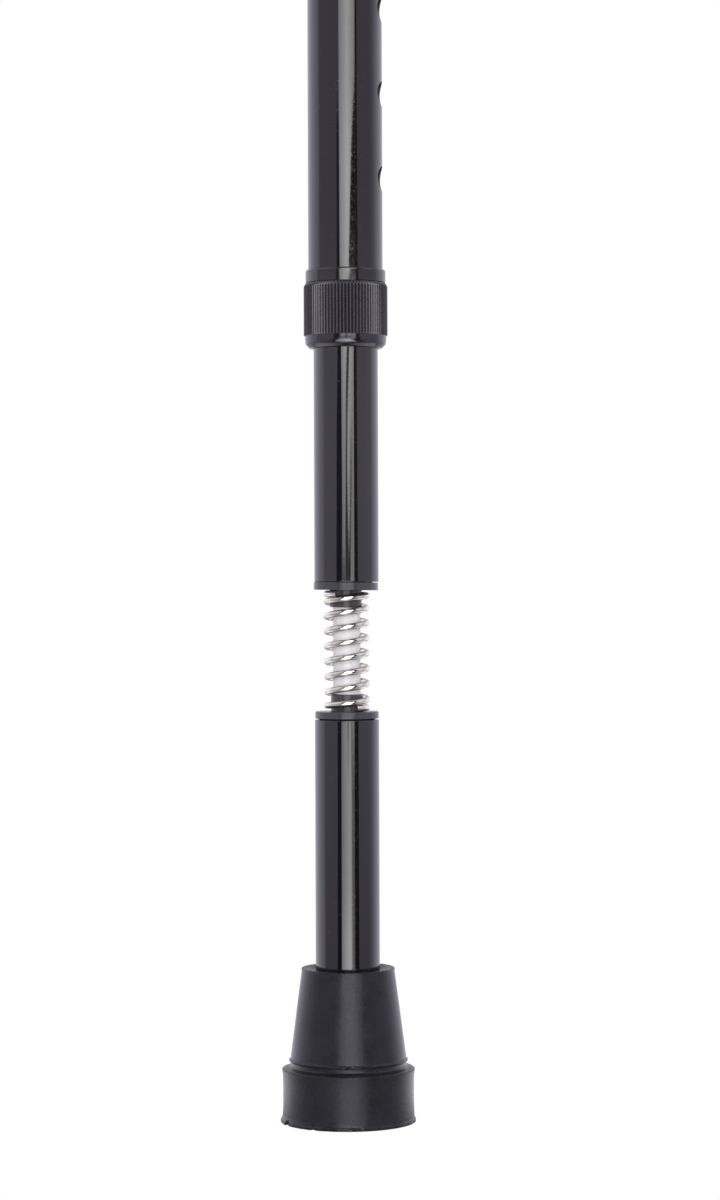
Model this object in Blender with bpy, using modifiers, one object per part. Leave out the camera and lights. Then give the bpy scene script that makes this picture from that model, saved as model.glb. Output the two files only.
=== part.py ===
"""Adjustable walking stick with a sprung, shock-absorbing foot. Metres, +Z up.

The origin is the centre of the ferrule's underside, where the stick's axis meets the ground.
The adjustment holes and the snap button face +X, turned a little towards -Y.
The handle's hooked end points along -X.
"""

import math

import bmesh
import bpy
import numpy as np
from mathutils import Matrix, Vector

# Play between pieces that touch, slide or turn on each other
CLEARANCE = 0.0003

# Facets round a large and a small turned piece
LARGE_STEPS = 40
SMALL_STEPS = 24

# Tubes: the inner and lower tubes are one stock, and the outer tube runs over it
LEG_TUBE_D = 0.0190
LEG_TUBE_WALL = 0.0012
OUTER_TUBE_WALL = 0.0012
OUTER_TUBE_LENGTH = 0.5400
LOWER_TUBE_LENGTH = 0.1123
INNER_TUBE_SHOWING = 0.0690
INNER_TUBE_ABOVE_BUTTON = 0.0351

# Ferrule: each step outwards is measured from the one above it
FERRULE_FLOOR = 0.0046
FERRULE_BASE_HEIGHT = 0.0154
FERRULE_GROOVE_HEIGHT = 0.0027
FERRULE_CONE_HEIGHT = 0.0269
FERRULE_TOP_WALL = 0.00385
FERRULE_CONE_FLARE = 0.00365
FERRULE_GROOVE_DEPTH = 0.00055
FERRULE_BASE_STEP = 0.00205
FERRULE_WAIST_DEPTH = 0.0007
FERRULE_LIP = 0.0004
FERRULE_LIP_HEIGHT = 0.0010
FERRULE_EDGE = 0.0005
TREAD_DEPTH = 0.0010
TREAD_WIDTH = 0.0013
TREAD_EDGE = 0.0040
TREAD_PITCH = 0.0050
TREAD_GROOVES = 2
DISC_THICKNESS = 0.0010

# Spring caps
CAP_FLANGE = 0.0021
CAP_EDGE = 0.0003
CAP_BOSS_WALL = 0.0004
CAP_BOSS_HEIGHT = 0.0051
CAP_BOSS_CHAMFER = 0.0003
LOWER_SPIGOT = 0.0200
LOWER_CAP_FLOOR = 0.0030
UPPER_SPIGOT = 0.0312
KEYED_LENGTH = 0.0126

# Guide rod and what holds it
ROD_D = 0.0080
ROD_PLAY = 0.00025
ROD_FLAT_DEPTH = 0.0007
SHOCK_TRAVEL = 0.0150
BUMPER_PLAY = 0.0007
BUMPER_THICKNESS = 0.0029
WASHER_PLAY = 0.0009
WASHER_THICKNESS = 0.0012
SCREW_D = 0.0040
SCREW_LENGTH = 0.0140
SCREW_HEAD_D = 0.0072
SCREW_HEAD_HEIGHT = 0.0026
SCREW_SOCKET = 0.0030
SCREW_SOCKET_DEPTH = 0.0015

# Coil spring: right-handed, with closed ends
SPRING_SPACE = 0.0359
SPRING_PLAY = 0.00045
WIRE_D = 0.0018
SPRING_TURNS = 8.84
SPRING_END_PITCH = 0.0023
SPRING_FOOT_ANGLE = -62.0
POINTS_PER_TURN = 10

# Locking nut, wedge ring and stop ring
NUT_HEIGHT = 0.0190
NUT_WALL = 0.0012
NUT_KNURL_DEPTH = 0.00035
NUT_RIBS = 72
NUT_STEP = 0.0004
NUT_SMOOTH_HEIGHT = 0.0038
NUT_LIP_WALL = 0.0005
NUT_CHAMFER = 0.0006
NUT_SEAT = 0.0026
CLAMP_HEIGHT = 0.0054
CLAMP_TAPER = 0.0007
CLAMP_SLIT = 0.0012
STOP_RING_HEIGHT = 0.0040
STOP_RING_WALL = 0.0007
STOP_RING_EDGE = 0.0005

# Adjustment holes and the snap button
HOLE_D = 0.0076
HOLE_PITCH = 0.0250
HOLE_COUNT = 7
BUTTON_HOLE = 4
FIRST_HOLE_RISE = 0.0266
HOLE_AZIMUTH = -4.5
BUTTON_PROUD = 0.0020
BUTTON_DOME = 0.0018
BUTTON_HEAD_RIM = 0.00125
BUTTON_HEAD_THICKNESS = 0.0010
STRIP_THICKNESS = 0.0005
STRIP_WIDTH = 0.0080
STRIP_LEG = 0.0080
STRIP_DROP = 0.0400
STRIP_BEND_R = 0.0030
RIVET_D = 0.0030
RIVET_HEAD_D = 0.0052
RIVET_HEAD_THICKNESS = 0.0010
RIVET_DEPTH = 0.0030

# Glide plug in the inner tube's top end
GLIDE_CAP = 0.0030
GLIDE_SPIGOT = 0.0120
GLIDE_WALL = 0.0015
GLIDE_CHAMFER = 0.0006

# Handle, its collar and its cross pin. The reach is from the stick's axis to the hooked end.
SPIGOT_LENGTH = 0.0350
COLLAR_WALL = 0.0013
COLLAR_HEIGHT = 0.0120
COLLAR_EDGE = 0.0005
PIN_D = 0.0030
PIN_DROP = 0.0060
NECK_HEIGHT = 0.0175
NECK_FILLET = 0.0110
NECK_SINK = 0.0008
GRIP_LENGTH = 0.1340
GRIP_REACH = 0.0870
GRIP_DEPTH = 0.0262
GRIP_WIDTH = 0.0264
GRIP_SIDES = 8

# Stations along the grip from its hooked end: share of the length, then rise, depth and width
# as shares of the grip's depth, depth and width
GRIP_STATIONS = (
    (0.000, -0.53, 0.36, 0.46),
    (0.030, -0.45, 0.72, 0.80),
    (0.110, -0.27, 0.94, 0.96),
    (0.240, -0.07, 0.98, 0.99),
    (0.410, 0.02, 1.00, 1.00),
    (0.590, 0.03, 1.00, 1.00),
    (0.740, 0.00, 0.95, 0.97),
    (0.865, 0.03, 0.82, 0.90),
    (0.960, 0.11, 0.66, 0.76),
    (1.000, 0.15, 0.36, 0.44),
)

# Radii that follow from the sizes above
LEG_R = LEG_TUBE_D / 2
LEG_BORE_R = LEG_R - LEG_TUBE_WALL
OUTER_BORE_R = LEG_R + CLEARANCE
OUTER_R = OUTER_BORE_R + OUTER_TUBE_WALL
SPIGOT_R = LEG_BORE_R - CLEARANCE
FERRULE_TOP_R = OUTER_BORE_R + FERRULE_TOP_WALL
CONE_R = FERRULE_TOP_R + FERRULE_CONE_FLARE
FERRULE_BASE_R = CONE_R + FERRULE_BASE_STEP
LIP_R = FERRULE_BASE_R + FERRULE_LIP
ROD_R = ROD_D / 2
ROD_BORE_R = ROD_R + ROD_PLAY
BOSS_R = ROD_BORE_R + CAP_BOSS_WALL
SPRING_R = BOSS_R + SPRING_PLAY + WIRE_D / 2
SCREW_HOLE_R = SCREW_D / 2 + CLEARANCE
NUT_BORE_R = OUTER_R + CLEARANCE
NUT_R = NUT_BORE_R + NUT_WALL
NUT_SMOOTH_R = NUT_R - NUT_STEP
BUTTON_R = HOLE_D / 2 - CLEARANCE
COLLAR_R = OUTER_R + CLEARANCE + COLLAR_WALL

# Heights that follow, from the ground up
CONE_Z = FERRULE_BASE_HEIGHT + FERRULE_GROOVE_HEIGHT
FERRULE_TOP_Z = CONE_Z + FERRULE_CONE_HEIGHT
DISC_Z = FERRULE_FLOOR + CLEARANCE
LOWER_TUBE_Z = DISC_Z + DISC_THICKNESS + CLEARANCE
LOWER_SEAT_Z = LOWER_TUBE_Z + LOWER_TUBE_LENGTH + CLEARANCE + CAP_FLANGE
UPPER_SEAT_Z = LOWER_SEAT_Z + SPRING_SPACE
INNER_TUBE_Z = UPPER_SEAT_Z + CAP_FLANGE + CLEARANCE
NUT_Z = INNER_TUBE_Z + INNER_TUBE_SHOWING
CLAMP_Z = NUT_Z + NUT_SEAT + CLEARANCE
OUTER_TUBE_Z = CLAMP_Z + CLAMP_HEIGHT + CLEARANCE
STOP_RING_Z = NUT_Z + NUT_HEIGHT + CLEARANCE
FIRST_HOLE_Z = STOP_RING_Z + STOP_RING_HEIGHT + FIRST_HOLE_RISE
BUTTON_Z = FIRST_HOLE_Z + BUTTON_HOLE * HOLE_PITCH
INNER_TOP_Z = BUTTON_Z + INNER_TUBE_ABOVE_BUTTON
TUBE_TOP_Z = OUTER_TUBE_Z + OUTER_TUBE_LENGTH
ROD_Z = LOWER_SEAT_Z - CAP_FLANGE - LOWER_SPIGOT + LOWER_CAP_FLOOR + CLEARANCE
BUMPER_Z = UPPER_SEAT_Z + CAP_FLANGE + UPPER_SPIGOT + CLEARANCE
ROD_TOP_Z = BUMPER_Z + BUMPER_THICKNESS
WASHER_Z = ROD_TOP_Z + CLEARANCE

# Colour, roughness and metallic value of each finish
FINISHES = {
    "black_tube": ((0.012, 0.011, 0.013), 0.18, 0.0),
    "black_plastic": ((0.016, 0.016, 0.018), 0.42, 0.0),
    "cap_plastic": ((0.035, 0.034, 0.038), 0.60, 0.0),
    "rubber": ((0.020, 0.020, 0.021), 0.75, 0.0),
    "white_nylon": ((0.86, 0.86, 0.88), 0.35, 0.0),
    "bright_steel": ((0.72, 0.70, 0.67), 0.18, 1.0),
    "zinc_steel": ((0.55, 0.55, 0.57), 0.35, 1.0),
}


def clear_scene():
    """Remove what the file starts with."""
    for obj in list(bpy.data.objects):
        bpy.data.objects.remove(obj, do_unlink=True)


def new_collection(name):
    """A collection in the scene."""
    collection = bpy.data.collections.new(name)
    bpy.context.scene.collection.children.link(collection)
    return collection


def add_object(name, data, collection):
    """An object for this data, in this collection."""
    obj = bpy.data.objects.new(name, data)
    collection.objects.link(obj)
    return obj


def add_material(finish):
    """The material of a finish, made once."""
    if finish in bpy.data.materials:
        return bpy.data.materials[finish]
    colour, roughness, metallic = FINISHES[finish]
    material = bpy.data.materials.new(finish)
    material.use_nodes = True
    shader = material.node_tree.nodes["Principled BSDF"]
    shader.inputs["Base Color"].default_value = (*colour, 1.0)
    shader.inputs["Roughness"].default_value = roughness
    shader.inputs["Metallic"].default_value = metallic
    material.diffuse_color = (*colour, 1.0)
    return material


def arc(centre_r, centre_z, radius, start, end, count):
    """Points (radius, height) along an arc, with its angles in degrees from the outward direction."""
    angles = np.radians(np.linspace(start, end, count))
    return [(centre_r + radius * math.cos(a), centre_z + radius * math.sin(a)) for a in angles]


def turned(name, profile, steps, collection):
    """A turned solid. Its profile is (radius, height) points that run down the outer side."""
    mesh = bpy.data.meshes.new(name)
    edges = [(i, i + 1) for i in range(len(profile) - 1)]
    if profile[0][0] > 0:
        edges.append((len(profile) - 1, 0))
    mesh.from_pydata([(radius, 0, height) for radius, height in profile], edges, [])
    obj = add_object(name, mesh, collection)
    screw = obj.modifiers.new("Turn", "SCREW")
    screw.angle = 2 * math.pi
    screw.steps = steps
    screw.render_steps = steps
    screw.use_merge_vertices = True
    screw.merge_threshold = 0.00001
    return obj


def tube(name, radius, bore, length, collection):
    """A plain tube that stands on its own origin."""
    profile = [(radius, length), (radius, 0), (bore, 0), (bore, length)]
    return turned(name, profile, LARGE_STEPS, collection)


def loft(name, rings, collection):
    """A closed solid through rings of points, all with the same number of points."""
    bm = bmesh.new()
    loops = [[bm.verts.new(point) for point in ring] for ring in rings]
    for lower, upper in zip(loops, loops[1:]):
        for i in range(len(lower)):
            j = (i + 1) % len(lower)
            bm.faces.new((lower[i], lower[j], upper[j], upper[i]))
    bm.faces.new(reversed(loops[0]))
    bm.faces.new(loops[-1])
    bmesh.ops.recalc_face_normals(bm, faces=bm.faces)
    mesh = bpy.data.meshes.new(name)
    bm.to_mesh(mesh)
    bm.free()
    return add_object(name, mesh, collection)


def prism(name, outline, height, collection):
    """An upright prism on a closed outline of (x, y) points, made from a filled flat curve."""
    curve = bpy.data.curves.new(name, "CURVE")
    curve.dimensions = "2D"
    curve.fill_mode = "BOTH"
    curve.extrude = height / 2
    spline = curve.splines.new("POLY")
    spline.points.add(len(outline) - 1)
    for point, (x, y) in zip(spline.points, outline):
        point.co = (x, y, 0, 1)
    spline.use_cyclic_u = True
    flat = add_object(name, curve, collection)
    mesh = evaluated_mesh(flat)
    bpy.data.objects.remove(flat)
    mesh.transform(Matrix.Translation((0, 0, height / 2)))
    return add_object(name, mesh, collection)


def evaluated_mesh(obj):
    """The object's mesh with its modifiers applied and its loose caps welded on."""
    bpy.context.view_layer.update()
    graph = bpy.context.evaluated_depsgraph_get()
    mesh = bpy.data.meshes.new_from_object(obj.evaluated_get(graph))
    bm = bmesh.new()
    bm.from_mesh(mesh)
    bmesh.ops.remove_doubles(bm, verts=bm.verts, dist=0.000001)
    bm.to_mesh(mesh)
    bm.free()
    return mesh


def block(name, size, centre, collection):
    """A box of this size about this centre."""
    bm = bmesh.new()
    bmesh.ops.create_cube(bm, size=1.0)
    bmesh.ops.scale(bm, vec=size, verts=bm.verts)
    bmesh.ops.translate(bm, vec=centre, verts=bm.verts)
    mesh = bpy.data.meshes.new(name)
    bm.to_mesh(mesh)
    bm.free()
    return add_object(name, mesh, collection)


def rod_along(name, direction, radius, length, centre, collection, steps=SMALL_STEPS):
    """A cylinder along a direction, about a centre."""
    turn = Vector(direction).to_track_quat("Z", "Y").to_matrix().to_4x4()
    bm = bmesh.new()
    bmesh.ops.create_cone(
        bm,
        cap_ends=True,
        segments=steps,
        radius1=radius,
        radius2=radius,
        depth=length,
        matrix=Matrix.Translation(centre) @ turn,
    )
    mesh = bpy.data.meshes.new(name)
    bm.to_mesh(mesh)
    bm.free()
    return add_object(name, mesh, collection)


def combine(obj, tool, operation):
    """Cut this object with a tool, or join the tool to it."""
    modifier = obj.modifiers.new(f"{operation.title()} {tool.name}", "BOOLEAN")
    modifier.operation = operation
    modifier.solver = "EXACT"
    modifier.object = tool
    tool.hide_render = True
    tool.display_type = "WIRE"


def finish(obj, look, height=0.0, carrier=None, turn=(0.0, 0.0, 0.0)):
    """Apply the modifiers, shade the round faces smooth, and put the piece at its height on its carrier."""
    obj.data = evaluated_mesh(obj)
    obj.modifiers.clear()
    obj.data.shade_smooth()
    obj.data.set_sharp_from_angle(angle=math.radians(35))
    obj.data.materials.clear()
    obj.data.materials.append(add_material(look))
    place(obj, height, carrier, turn)


def place(obj, height, carrier, turn=(0.0, 0.0, 0.0)):
    """Put an object on the stick's axis at this height, carried by an empty."""
    obj.parent = carrier
    obj.location = (0, 0, height - (axis_height(carrier) if carrier else 0.0))
    obj.rotation_euler = turn


def axis_height(obj):
    """An object's height above the ground, through those that carry it."""
    height = obj.location.z
    while obj.parent:
        obj = obj.parent
        height += obj.location.z
    return height


def add_carrier(name, height, carrier, collection):
    """An empty on the stick's axis, which carries the pieces that move together."""
    empty = add_object(name, None, collection)
    empty.empty_display_type = "PLAIN_AXES"
    empty.empty_display_size = 0.01
    place(empty, height, carrier)
    return empty


def ring_of_points(half_x, half_y, height):
    """Points round a level ellipse."""
    angles = np.linspace(0, 2 * math.pi, LARGE_STEPS, endpoint=False)
    return [(half_x * math.cos(a), half_y * math.sin(a), height) for a in angles]


def make_ferrule(parts, leg):
    """Rubber foot: a cone on a stepped base, with a socket for the tube and grooves in its tread."""
    groove_r = CONE_R - FERRULE_GROOVE_DEPTH
    edge = FERRULE_EDGE
    wall_foot = FERRULE_LIP_HEIGHT + edge
    waist = (FERRULE_BASE_R - FERRULE_WAIST_DEPTH, (wall_foot + FERRULE_BASE_HEIGHT) / 2)
    profile = [
        (0, FERRULE_FLOOR),
        (OUTER_BORE_R, FERRULE_FLOOR),
        (OUTER_BORE_R, FERRULE_TOP_Z - edge),
        (OUTER_BORE_R + edge, FERRULE_TOP_Z),
        (FERRULE_TOP_R - edge, FERRULE_TOP_Z),
        (FERRULE_TOP_R, FERRULE_TOP_Z - edge),
        (CONE_R, CONE_Z + edge),
        (CONE_R, CONE_Z),
        (groove_r, CONE_Z),
        (groove_r, FERRULE_BASE_HEIGHT),
        (FERRULE_BASE_R - edge, FERRULE_BASE_HEIGHT),
        (FERRULE_BASE_R, FERRULE_BASE_HEIGHT - edge),
        waist,
        (FERRULE_BASE_R - edge, wall_foot),
        (LIP_R, FERRULE_LIP_HEIGHT),
        (LIP_R, edge),
        (LIP_R - edge, 0),
    ]
    for i in range(TREAD_GROOVES):
        outer = LIP_R - TREAD_EDGE - i * TREAD_PITCH
        inner = outer - TREAD_WIDTH
        profile += [(outer, 0), (outer, TREAD_DEPTH), (inner, TREAD_DEPTH), (inner, 0)]
    profile.append((0, 0))
    finish(turned("ferrule", profile, LARGE_STEPS, parts), "rubber", 0, leg)
    disc = [(0, DISC_THICKNESS), (LEG_R, DISC_THICKNESS), (LEG_R, 0), (0, 0)]
    finish(turned("ferrule_disc", disc, LARGE_STEPS, parts), "zinc_steel", DISC_Z, leg)


def cap_profile(spigot, bore_depth):
    """Half section of a spring cap: boss up, flange at its seat, spigot down, blind bore from the boss's end."""
    flange_foot = -CAP_FLANGE
    return [
        (0, -bore_depth),
        (ROD_BORE_R, -bore_depth),
        (ROD_BORE_R, CAP_BOSS_HEIGHT),
        (BOSS_R - CAP_BOSS_CHAMFER, CAP_BOSS_HEIGHT),
        (BOSS_R, CAP_BOSS_HEIGHT - CAP_BOSS_CHAMFER),
        (BOSS_R, 0),
        (LEG_R - CAP_EDGE, 0),
        (LEG_R, -CAP_EDGE),
        (LEG_R, flange_foot + CAP_EDGE),
        (LEG_R - CAP_EDGE, flange_foot),
        (SPIGOT_R, flange_foot),
        (SPIGOT_R, flange_foot - spigot + CAP_EDGE),
        (SPIGOT_R - CAP_EDGE, flange_foot - spigot),
        (0, flange_foot - spigot),
    ]


def make_lower_cap(parts, cutters, leg):
    """Cap in the lower tube: the rod stands in its bore, held by a screw through its floor."""
    floor = CAP_FLANGE + LOWER_SPIGOT - LOWER_CAP_FLOOR
    cap = turned("lower_spring_cap", cap_profile(LOWER_SPIGOT, floor), LARGE_STEPS, parts)
    hole_centre = (0, 0, -floor - LOWER_CAP_FLOOR / 2)
    hole = rod_along(
        "lower_cap_hole", (0, 0, 1), SCREW_HOLE_R, 2 * LOWER_CAP_FLOOR, hole_centre, cutters
    )
    combine(cap, hole, "DIFFERENCE")
    finish(cap, "cap_plastic", LOWER_SEAT_Z, leg)


def make_upper_cap(parts, cutters, inner):
    """Cap in the inner tube, boss down: its bore ends in two flats that keep the rod from turning."""
    round_depth = CAP_FLANGE + UPPER_SPIGOT - KEYED_LENGTH
    cap = turned("upper_spring_cap", cap_profile(UPPER_SPIGOT, round_depth), LARGE_STEPS, parts)
    key = rod_along(
        "upper_cap_keyway",
        (0, 0, 1),
        ROD_BORE_R,
        KEYED_LENGTH + 2 * CAP_FLANGE,
        (0, 0, -round_depth - KEYED_LENGTH / 2),
        cutters,
        LARGE_STEPS,
    )
    bm = bmesh.new()
    bm.from_mesh(key.data)
    for side in (-1, 1):
        cut = bmesh.ops.bisect_plane(
            bm,
            geom=bm.verts[:] + bm.edges[:] + bm.faces[:],
            plane_co=(side * (ROD_BORE_R - ROD_FLAT_DEPTH), 0, 0),
            plane_no=(side, 0, 0),
            clear_outer=True,
        )
        edges = [e for e in cut["geom_cut"] if isinstance(e, bmesh.types.BMEdge)]
        bmesh.ops.holes_fill(bm, edges=edges)
    bm.to_mesh(key.data)
    bm.free()
    combine(cap, key, "DIFFERENCE")
    finish(cap, "cap_plastic", UPPER_SEAT_Z, inner, (math.pi, 0, 0))


def make_guide_rod(parts, cutters, leg):
    """White rod with a screw hole in each end, and two flats on the part that stays in the upper cap."""
    length = ROD_TOP_Z - ROD_Z
    depth = SCREW_LENGTH + CLEARANCE
    profile = [
        (0, length - depth),
        (SCREW_HOLE_R, length - depth),
        (SCREW_HOLE_R, length),
        (ROD_R, length),
        (ROD_R, 0),
        (SCREW_HOLE_R, 0),
        (SCREW_HOLE_R, depth),
        (0, depth),
    ]
    rod = turned("guide_rod", profile, LARGE_STEPS, parts)
    keyed_z = UPPER_SEAT_Z + CAP_FLANGE + UPPER_SPIGOT - KEYED_LENGTH
    flats_z = keyed_z - SHOCK_TRAVEL - CLEARANCE - ROD_Z
    for side, name in ((-1, "rod_flat_left"), (1, "rod_flat_right")):
        centre = (side * (ROD_D - ROD_FLAT_DEPTH), 0, flats_z + length / 2)
        cutter = block(name, (ROD_D, 2 * ROD_D, length), centre, cutters)
        combine(rod, cutter, "DIFFERENCE")
    finish(rod, "white_nylon", ROD_Z, leg)


def make_screw(name, parts, cutters, height, carrier, turn=(0.0, 0.0, 0.0)):
    """Pan-head screw with a six-sided socket: its head's underside is at its origin, its shank points down."""
    head_r = SCREW_HEAD_D / 2
    crown = SCREW_HEAD_HEIGHT / 2
    dome = arc(head_r - crown, crown, crown, 90, 0, 3)
    tip = -SCREW_LENGTH
    profile = [(0, SCREW_HEAD_HEIGHT), *dome, (head_r, 0), (SCREW_D / 2, 0)]
    profile += [(SCREW_D / 2, tip + SCREW_D / 4), (SCREW_D / 4, tip), (0, tip)]
    screw = turned(name, profile, SMALL_STEPS, parts)
    socket_r = SCREW_SOCKET / 2 / math.cos(math.pi / 6)
    socket_centre = (0, 0, SCREW_HEAD_HEIGHT)
    socket = rod_along(
        f"{name}_socket", (0, 0, 1), socket_r, 2 * SCREW_SOCKET_DEPTH, socket_centre, cutters, 6
    )
    combine(screw, socket, "DIFFERENCE")
    finish(screw, "zinc_steel", height, carrier, turn)


def make_rod_stop(parts, cutters, leg, inner):
    """What keeps the leg from falling out: a rubber ring on the cap, and a washer screwed to the rod."""
    bore = ROD_R + CLEARANCE
    bulge = BUMPER_THICKNESS / 2
    side = arc(LEG_BORE_R - BUMPER_PLAY - bulge, bulge, bulge, 90, -90, 5)
    bumper = turned("rebound_bumper", [*side, (bore, 0), (bore, BUMPER_THICKNESS)], SMALL_STEPS, parts)
    finish(bumper, "rubber", BUMPER_Z, inner)
    washer_r = LEG_BORE_R - WASHER_PLAY
    washer = [
        (washer_r, WASHER_THICKNESS),
        (washer_r, 0),
        (SCREW_HOLE_R, 0),
        (SCREW_HOLE_R, WASHER_THICKNESS),
    ]
    finish(turned("rod_washer", washer, SMALL_STEPS, parts), "zinc_steel", WASHER_Z, leg)
    head_z = WASHER_Z + WASHER_THICKNESS + CLEARANCE
    make_screw("rod_top_screw", parts, cutters, head_z, leg)
    foot_z = LOWER_SEAT_Z - CAP_FLANGE - LOWER_SPIGOT - CLEARANCE
    make_screw("rod_foot_screw", parts, cutters, foot_z, leg, (math.pi, 0, 0))


def spring_height(turns):
    """Height of the wire's centre above its lowest point, after this many turns from the foot."""
    rise = SPRING_SPACE - WIRE_D - 2 * CLEARANCE
    pitch = (rise - 2 * SPRING_END_PITCH) / (SPRING_TURNS - 2)
    stops = (0, 1, SPRING_TURNS - 1, SPRING_TURNS)
    end = SPRING_END_PITCH
    heights = (0, end, end + pitch * (SPRING_TURNS - 2), rise)
    return float(np.interp(turns, stops, heights))


def spring_points(count):
    """Points along the wire's centre, which lie outside the mean circle so that the chords share it."""
    radius = 2 * SPRING_R / (1 + math.cos(math.pi / POINTS_PER_TURN))
    start = math.radians(SPRING_FOOT_ANGLE)
    points = []
    for turns in np.linspace(0, SPRING_TURNS, count):
        angle = start + 2 * math.pi * turns
        height = CLEARANCE + WIRE_D / 2 + spring_height(turns)
        points.append((radius * math.cos(angle), radius * math.sin(angle), height))
    return points


def least_gap(points):
    """Smallest gap between the wire and itself, from one turn to the next."""
    path = np.array(points)
    apart = POINTS_PER_TURN // 2
    gaps = [
        np.linalg.norm(path[i + apart :] - path[i], axis=1).min() for i in range(len(path) - apart)
    ]
    return min(gaps) - WIRE_D


def make_coil_spring(parts, inner):
    """The open coil spring, one unbroken wire."""
    count = round(SPRING_TURNS * POINTS_PER_TURN) + 1
    points = spring_points(count)
    print(f"coil_spring: least gap to itself {1000 * least_gap(points):.2f} mm")
    curve = bpy.data.curves.new("coil_spring", "CURVE")
    curve.dimensions = "3D"
    curve.bevel_depth = WIRE_D / 2
    curve.bevel_resolution = 1
    curve.use_fill_caps = True
    spline = curve.splines.new("POLY")
    spline.points.add(count - 1)
    for point, place_of in zip(spline.points, points):
        point.co = (*place_of, 1)
    curve.materials.append(add_material("bright_steel"))
    place(add_object("coil_spring", curve, parts), LOWER_SEAT_Z, inner)


def cut_adjustment_hole(piece, name, height, cutters):
    """Cut one hole through the wall that faces the button's side."""
    azimuth = math.radians(HOLE_AZIMUTH)
    facing = Vector((math.cos(azimuth), math.sin(azimuth), 0))
    cutter = rod_along(
        name, facing, HOLE_D / 2, LEG_TUBE_D, facing * (LEG_R + OUTER_R) / 2, cutters
    )
    cutter.location.z = height
    combine(piece, cutter, "DIFFERENCE")


def make_tubes(parts, cutters, leg, inner):
    """Lower tube, inner tube with its button hole, and outer tube with its row of holes."""
    lower = tube("lower_tube", LEG_R, LEG_BORE_R, LOWER_TUBE_LENGTH, parts)
    finish(lower, "black_tube", LOWER_TUBE_Z, leg)
    middle = tube("inner_tube", LEG_R, LEG_BORE_R, INNER_TOP_Z - INNER_TUBE_Z, parts)
    cut_adjustment_hole(middle, "inner_tube_hole", BUTTON_Z - INNER_TUBE_Z, cutters)
    finish(middle, "black_tube", INNER_TUBE_Z, inner)
    outer = tube("outer_tube", OUTER_R, OUTER_BORE_R, OUTER_TUBE_LENGTH, parts)
    for i in range(HOLE_COUNT):
        height = FIRST_HOLE_Z + i * HOLE_PITCH - OUTER_TUBE_Z
        cut_adjustment_hole(outer, f"outer_tube_hole_{i + 1}", height, cutters)
    pin_height = OUTER_TUBE_LENGTH - PIN_DROP
    pin_hole = rod_along(
        "outer_tube_pin_hole",
        (0, 1, 0),
        PIN_D / 2 + CLEARANCE,
        4 * OUTER_R,
        (0, 0, pin_height),
        cutters,
    )
    combine(outer, pin_hole, "DIFFERENCE")
    finish(outer, "black_tube", OUTER_TUBE_Z)


def make_glide(parts, inner):
    """Plug with a hollow spigot in the inner tube's top end."""
    rim = LEG_R - GLIDE_CHAMFER
    spigot_bore = SPIGOT_R - GLIDE_WALL
    profile = [
        (0, GLIDE_CAP),
        (rim, GLIDE_CAP),
        (LEG_R, GLIDE_CAP - GLIDE_CHAMFER),
        (LEG_R, 0),
        (SPIGOT_R, 0),
        (SPIGOT_R, -GLIDE_SPIGOT),
        (spigot_bore, -GLIDE_SPIGOT),
        (spigot_bore, -GLIDE_WALL),
        (0, -GLIDE_WALL),
    ]
    glide = turned("inner_tube_glide", profile, LARGE_STEPS, parts)
    finish(glide, "black_plastic", INNER_TOP_Z + CLEARANCE, inner)


def make_button(parts, button):
    """Domed snap button and the rivet that holds it on its strip. Both lie along the button's axis."""
    turn = (0, math.pi / 2, math.radians(HOLE_AZIMUTH))
    head_r = BUTTON_R + BUTTON_HEAD_RIM
    seat = math.sqrt((LEG_BORE_R - CLEARANCE) ** 2 - head_r**2)
    back = seat - BUTTON_HEAD_THICKNESS
    tip = OUTER_R + BUTTON_PROUD
    dome_r = (BUTTON_R**2 + BUTTON_DOME**2) / (2 * BUTTON_DOME)
    spread = math.degrees(math.asin(BUTTON_R / dome_r))
    dome = arc(0, tip - dome_r, dome_r, 90, 90 - spread, 4)
    dome[0] = (0, tip)
    hole_r = RIVET_D / 2 + CLEARANCE
    profile = [
        *dome,
        (BUTTON_R, seat),
        (head_r, seat),
        (head_r, back),
        (hole_r, back),
        (hole_r, back + RIVET_DEPTH + CLEARANCE),
        (0, back + RIVET_DEPTH + CLEARANCE),
    ]
    finish(turned("snap_button", profile, SMALL_STEPS, parts), "zinc_steel", BUTTON_Z, button, turn)
    head_top = back - 2 * CLEARANCE - STRIP_THICKNESS
    rivet = [
        (0, back + RIVET_DEPTH),
        (RIVET_D / 2, back + RIVET_DEPTH),
        (RIVET_D / 2, head_top),
        (RIVET_HEAD_D / 2, head_top),
        (RIVET_HEAD_D / 2, head_top - RIVET_HEAD_THICKNESS),
        (0, head_top - RIVET_HEAD_THICKNESS),
    ]
    finish(turned("button_rivet", rivet, SMALL_STEPS, parts), "zinc_steel", BUTTON_Z, button, turn)
    return back - CLEARANCE - STRIP_THICKNESS / 2


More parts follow.
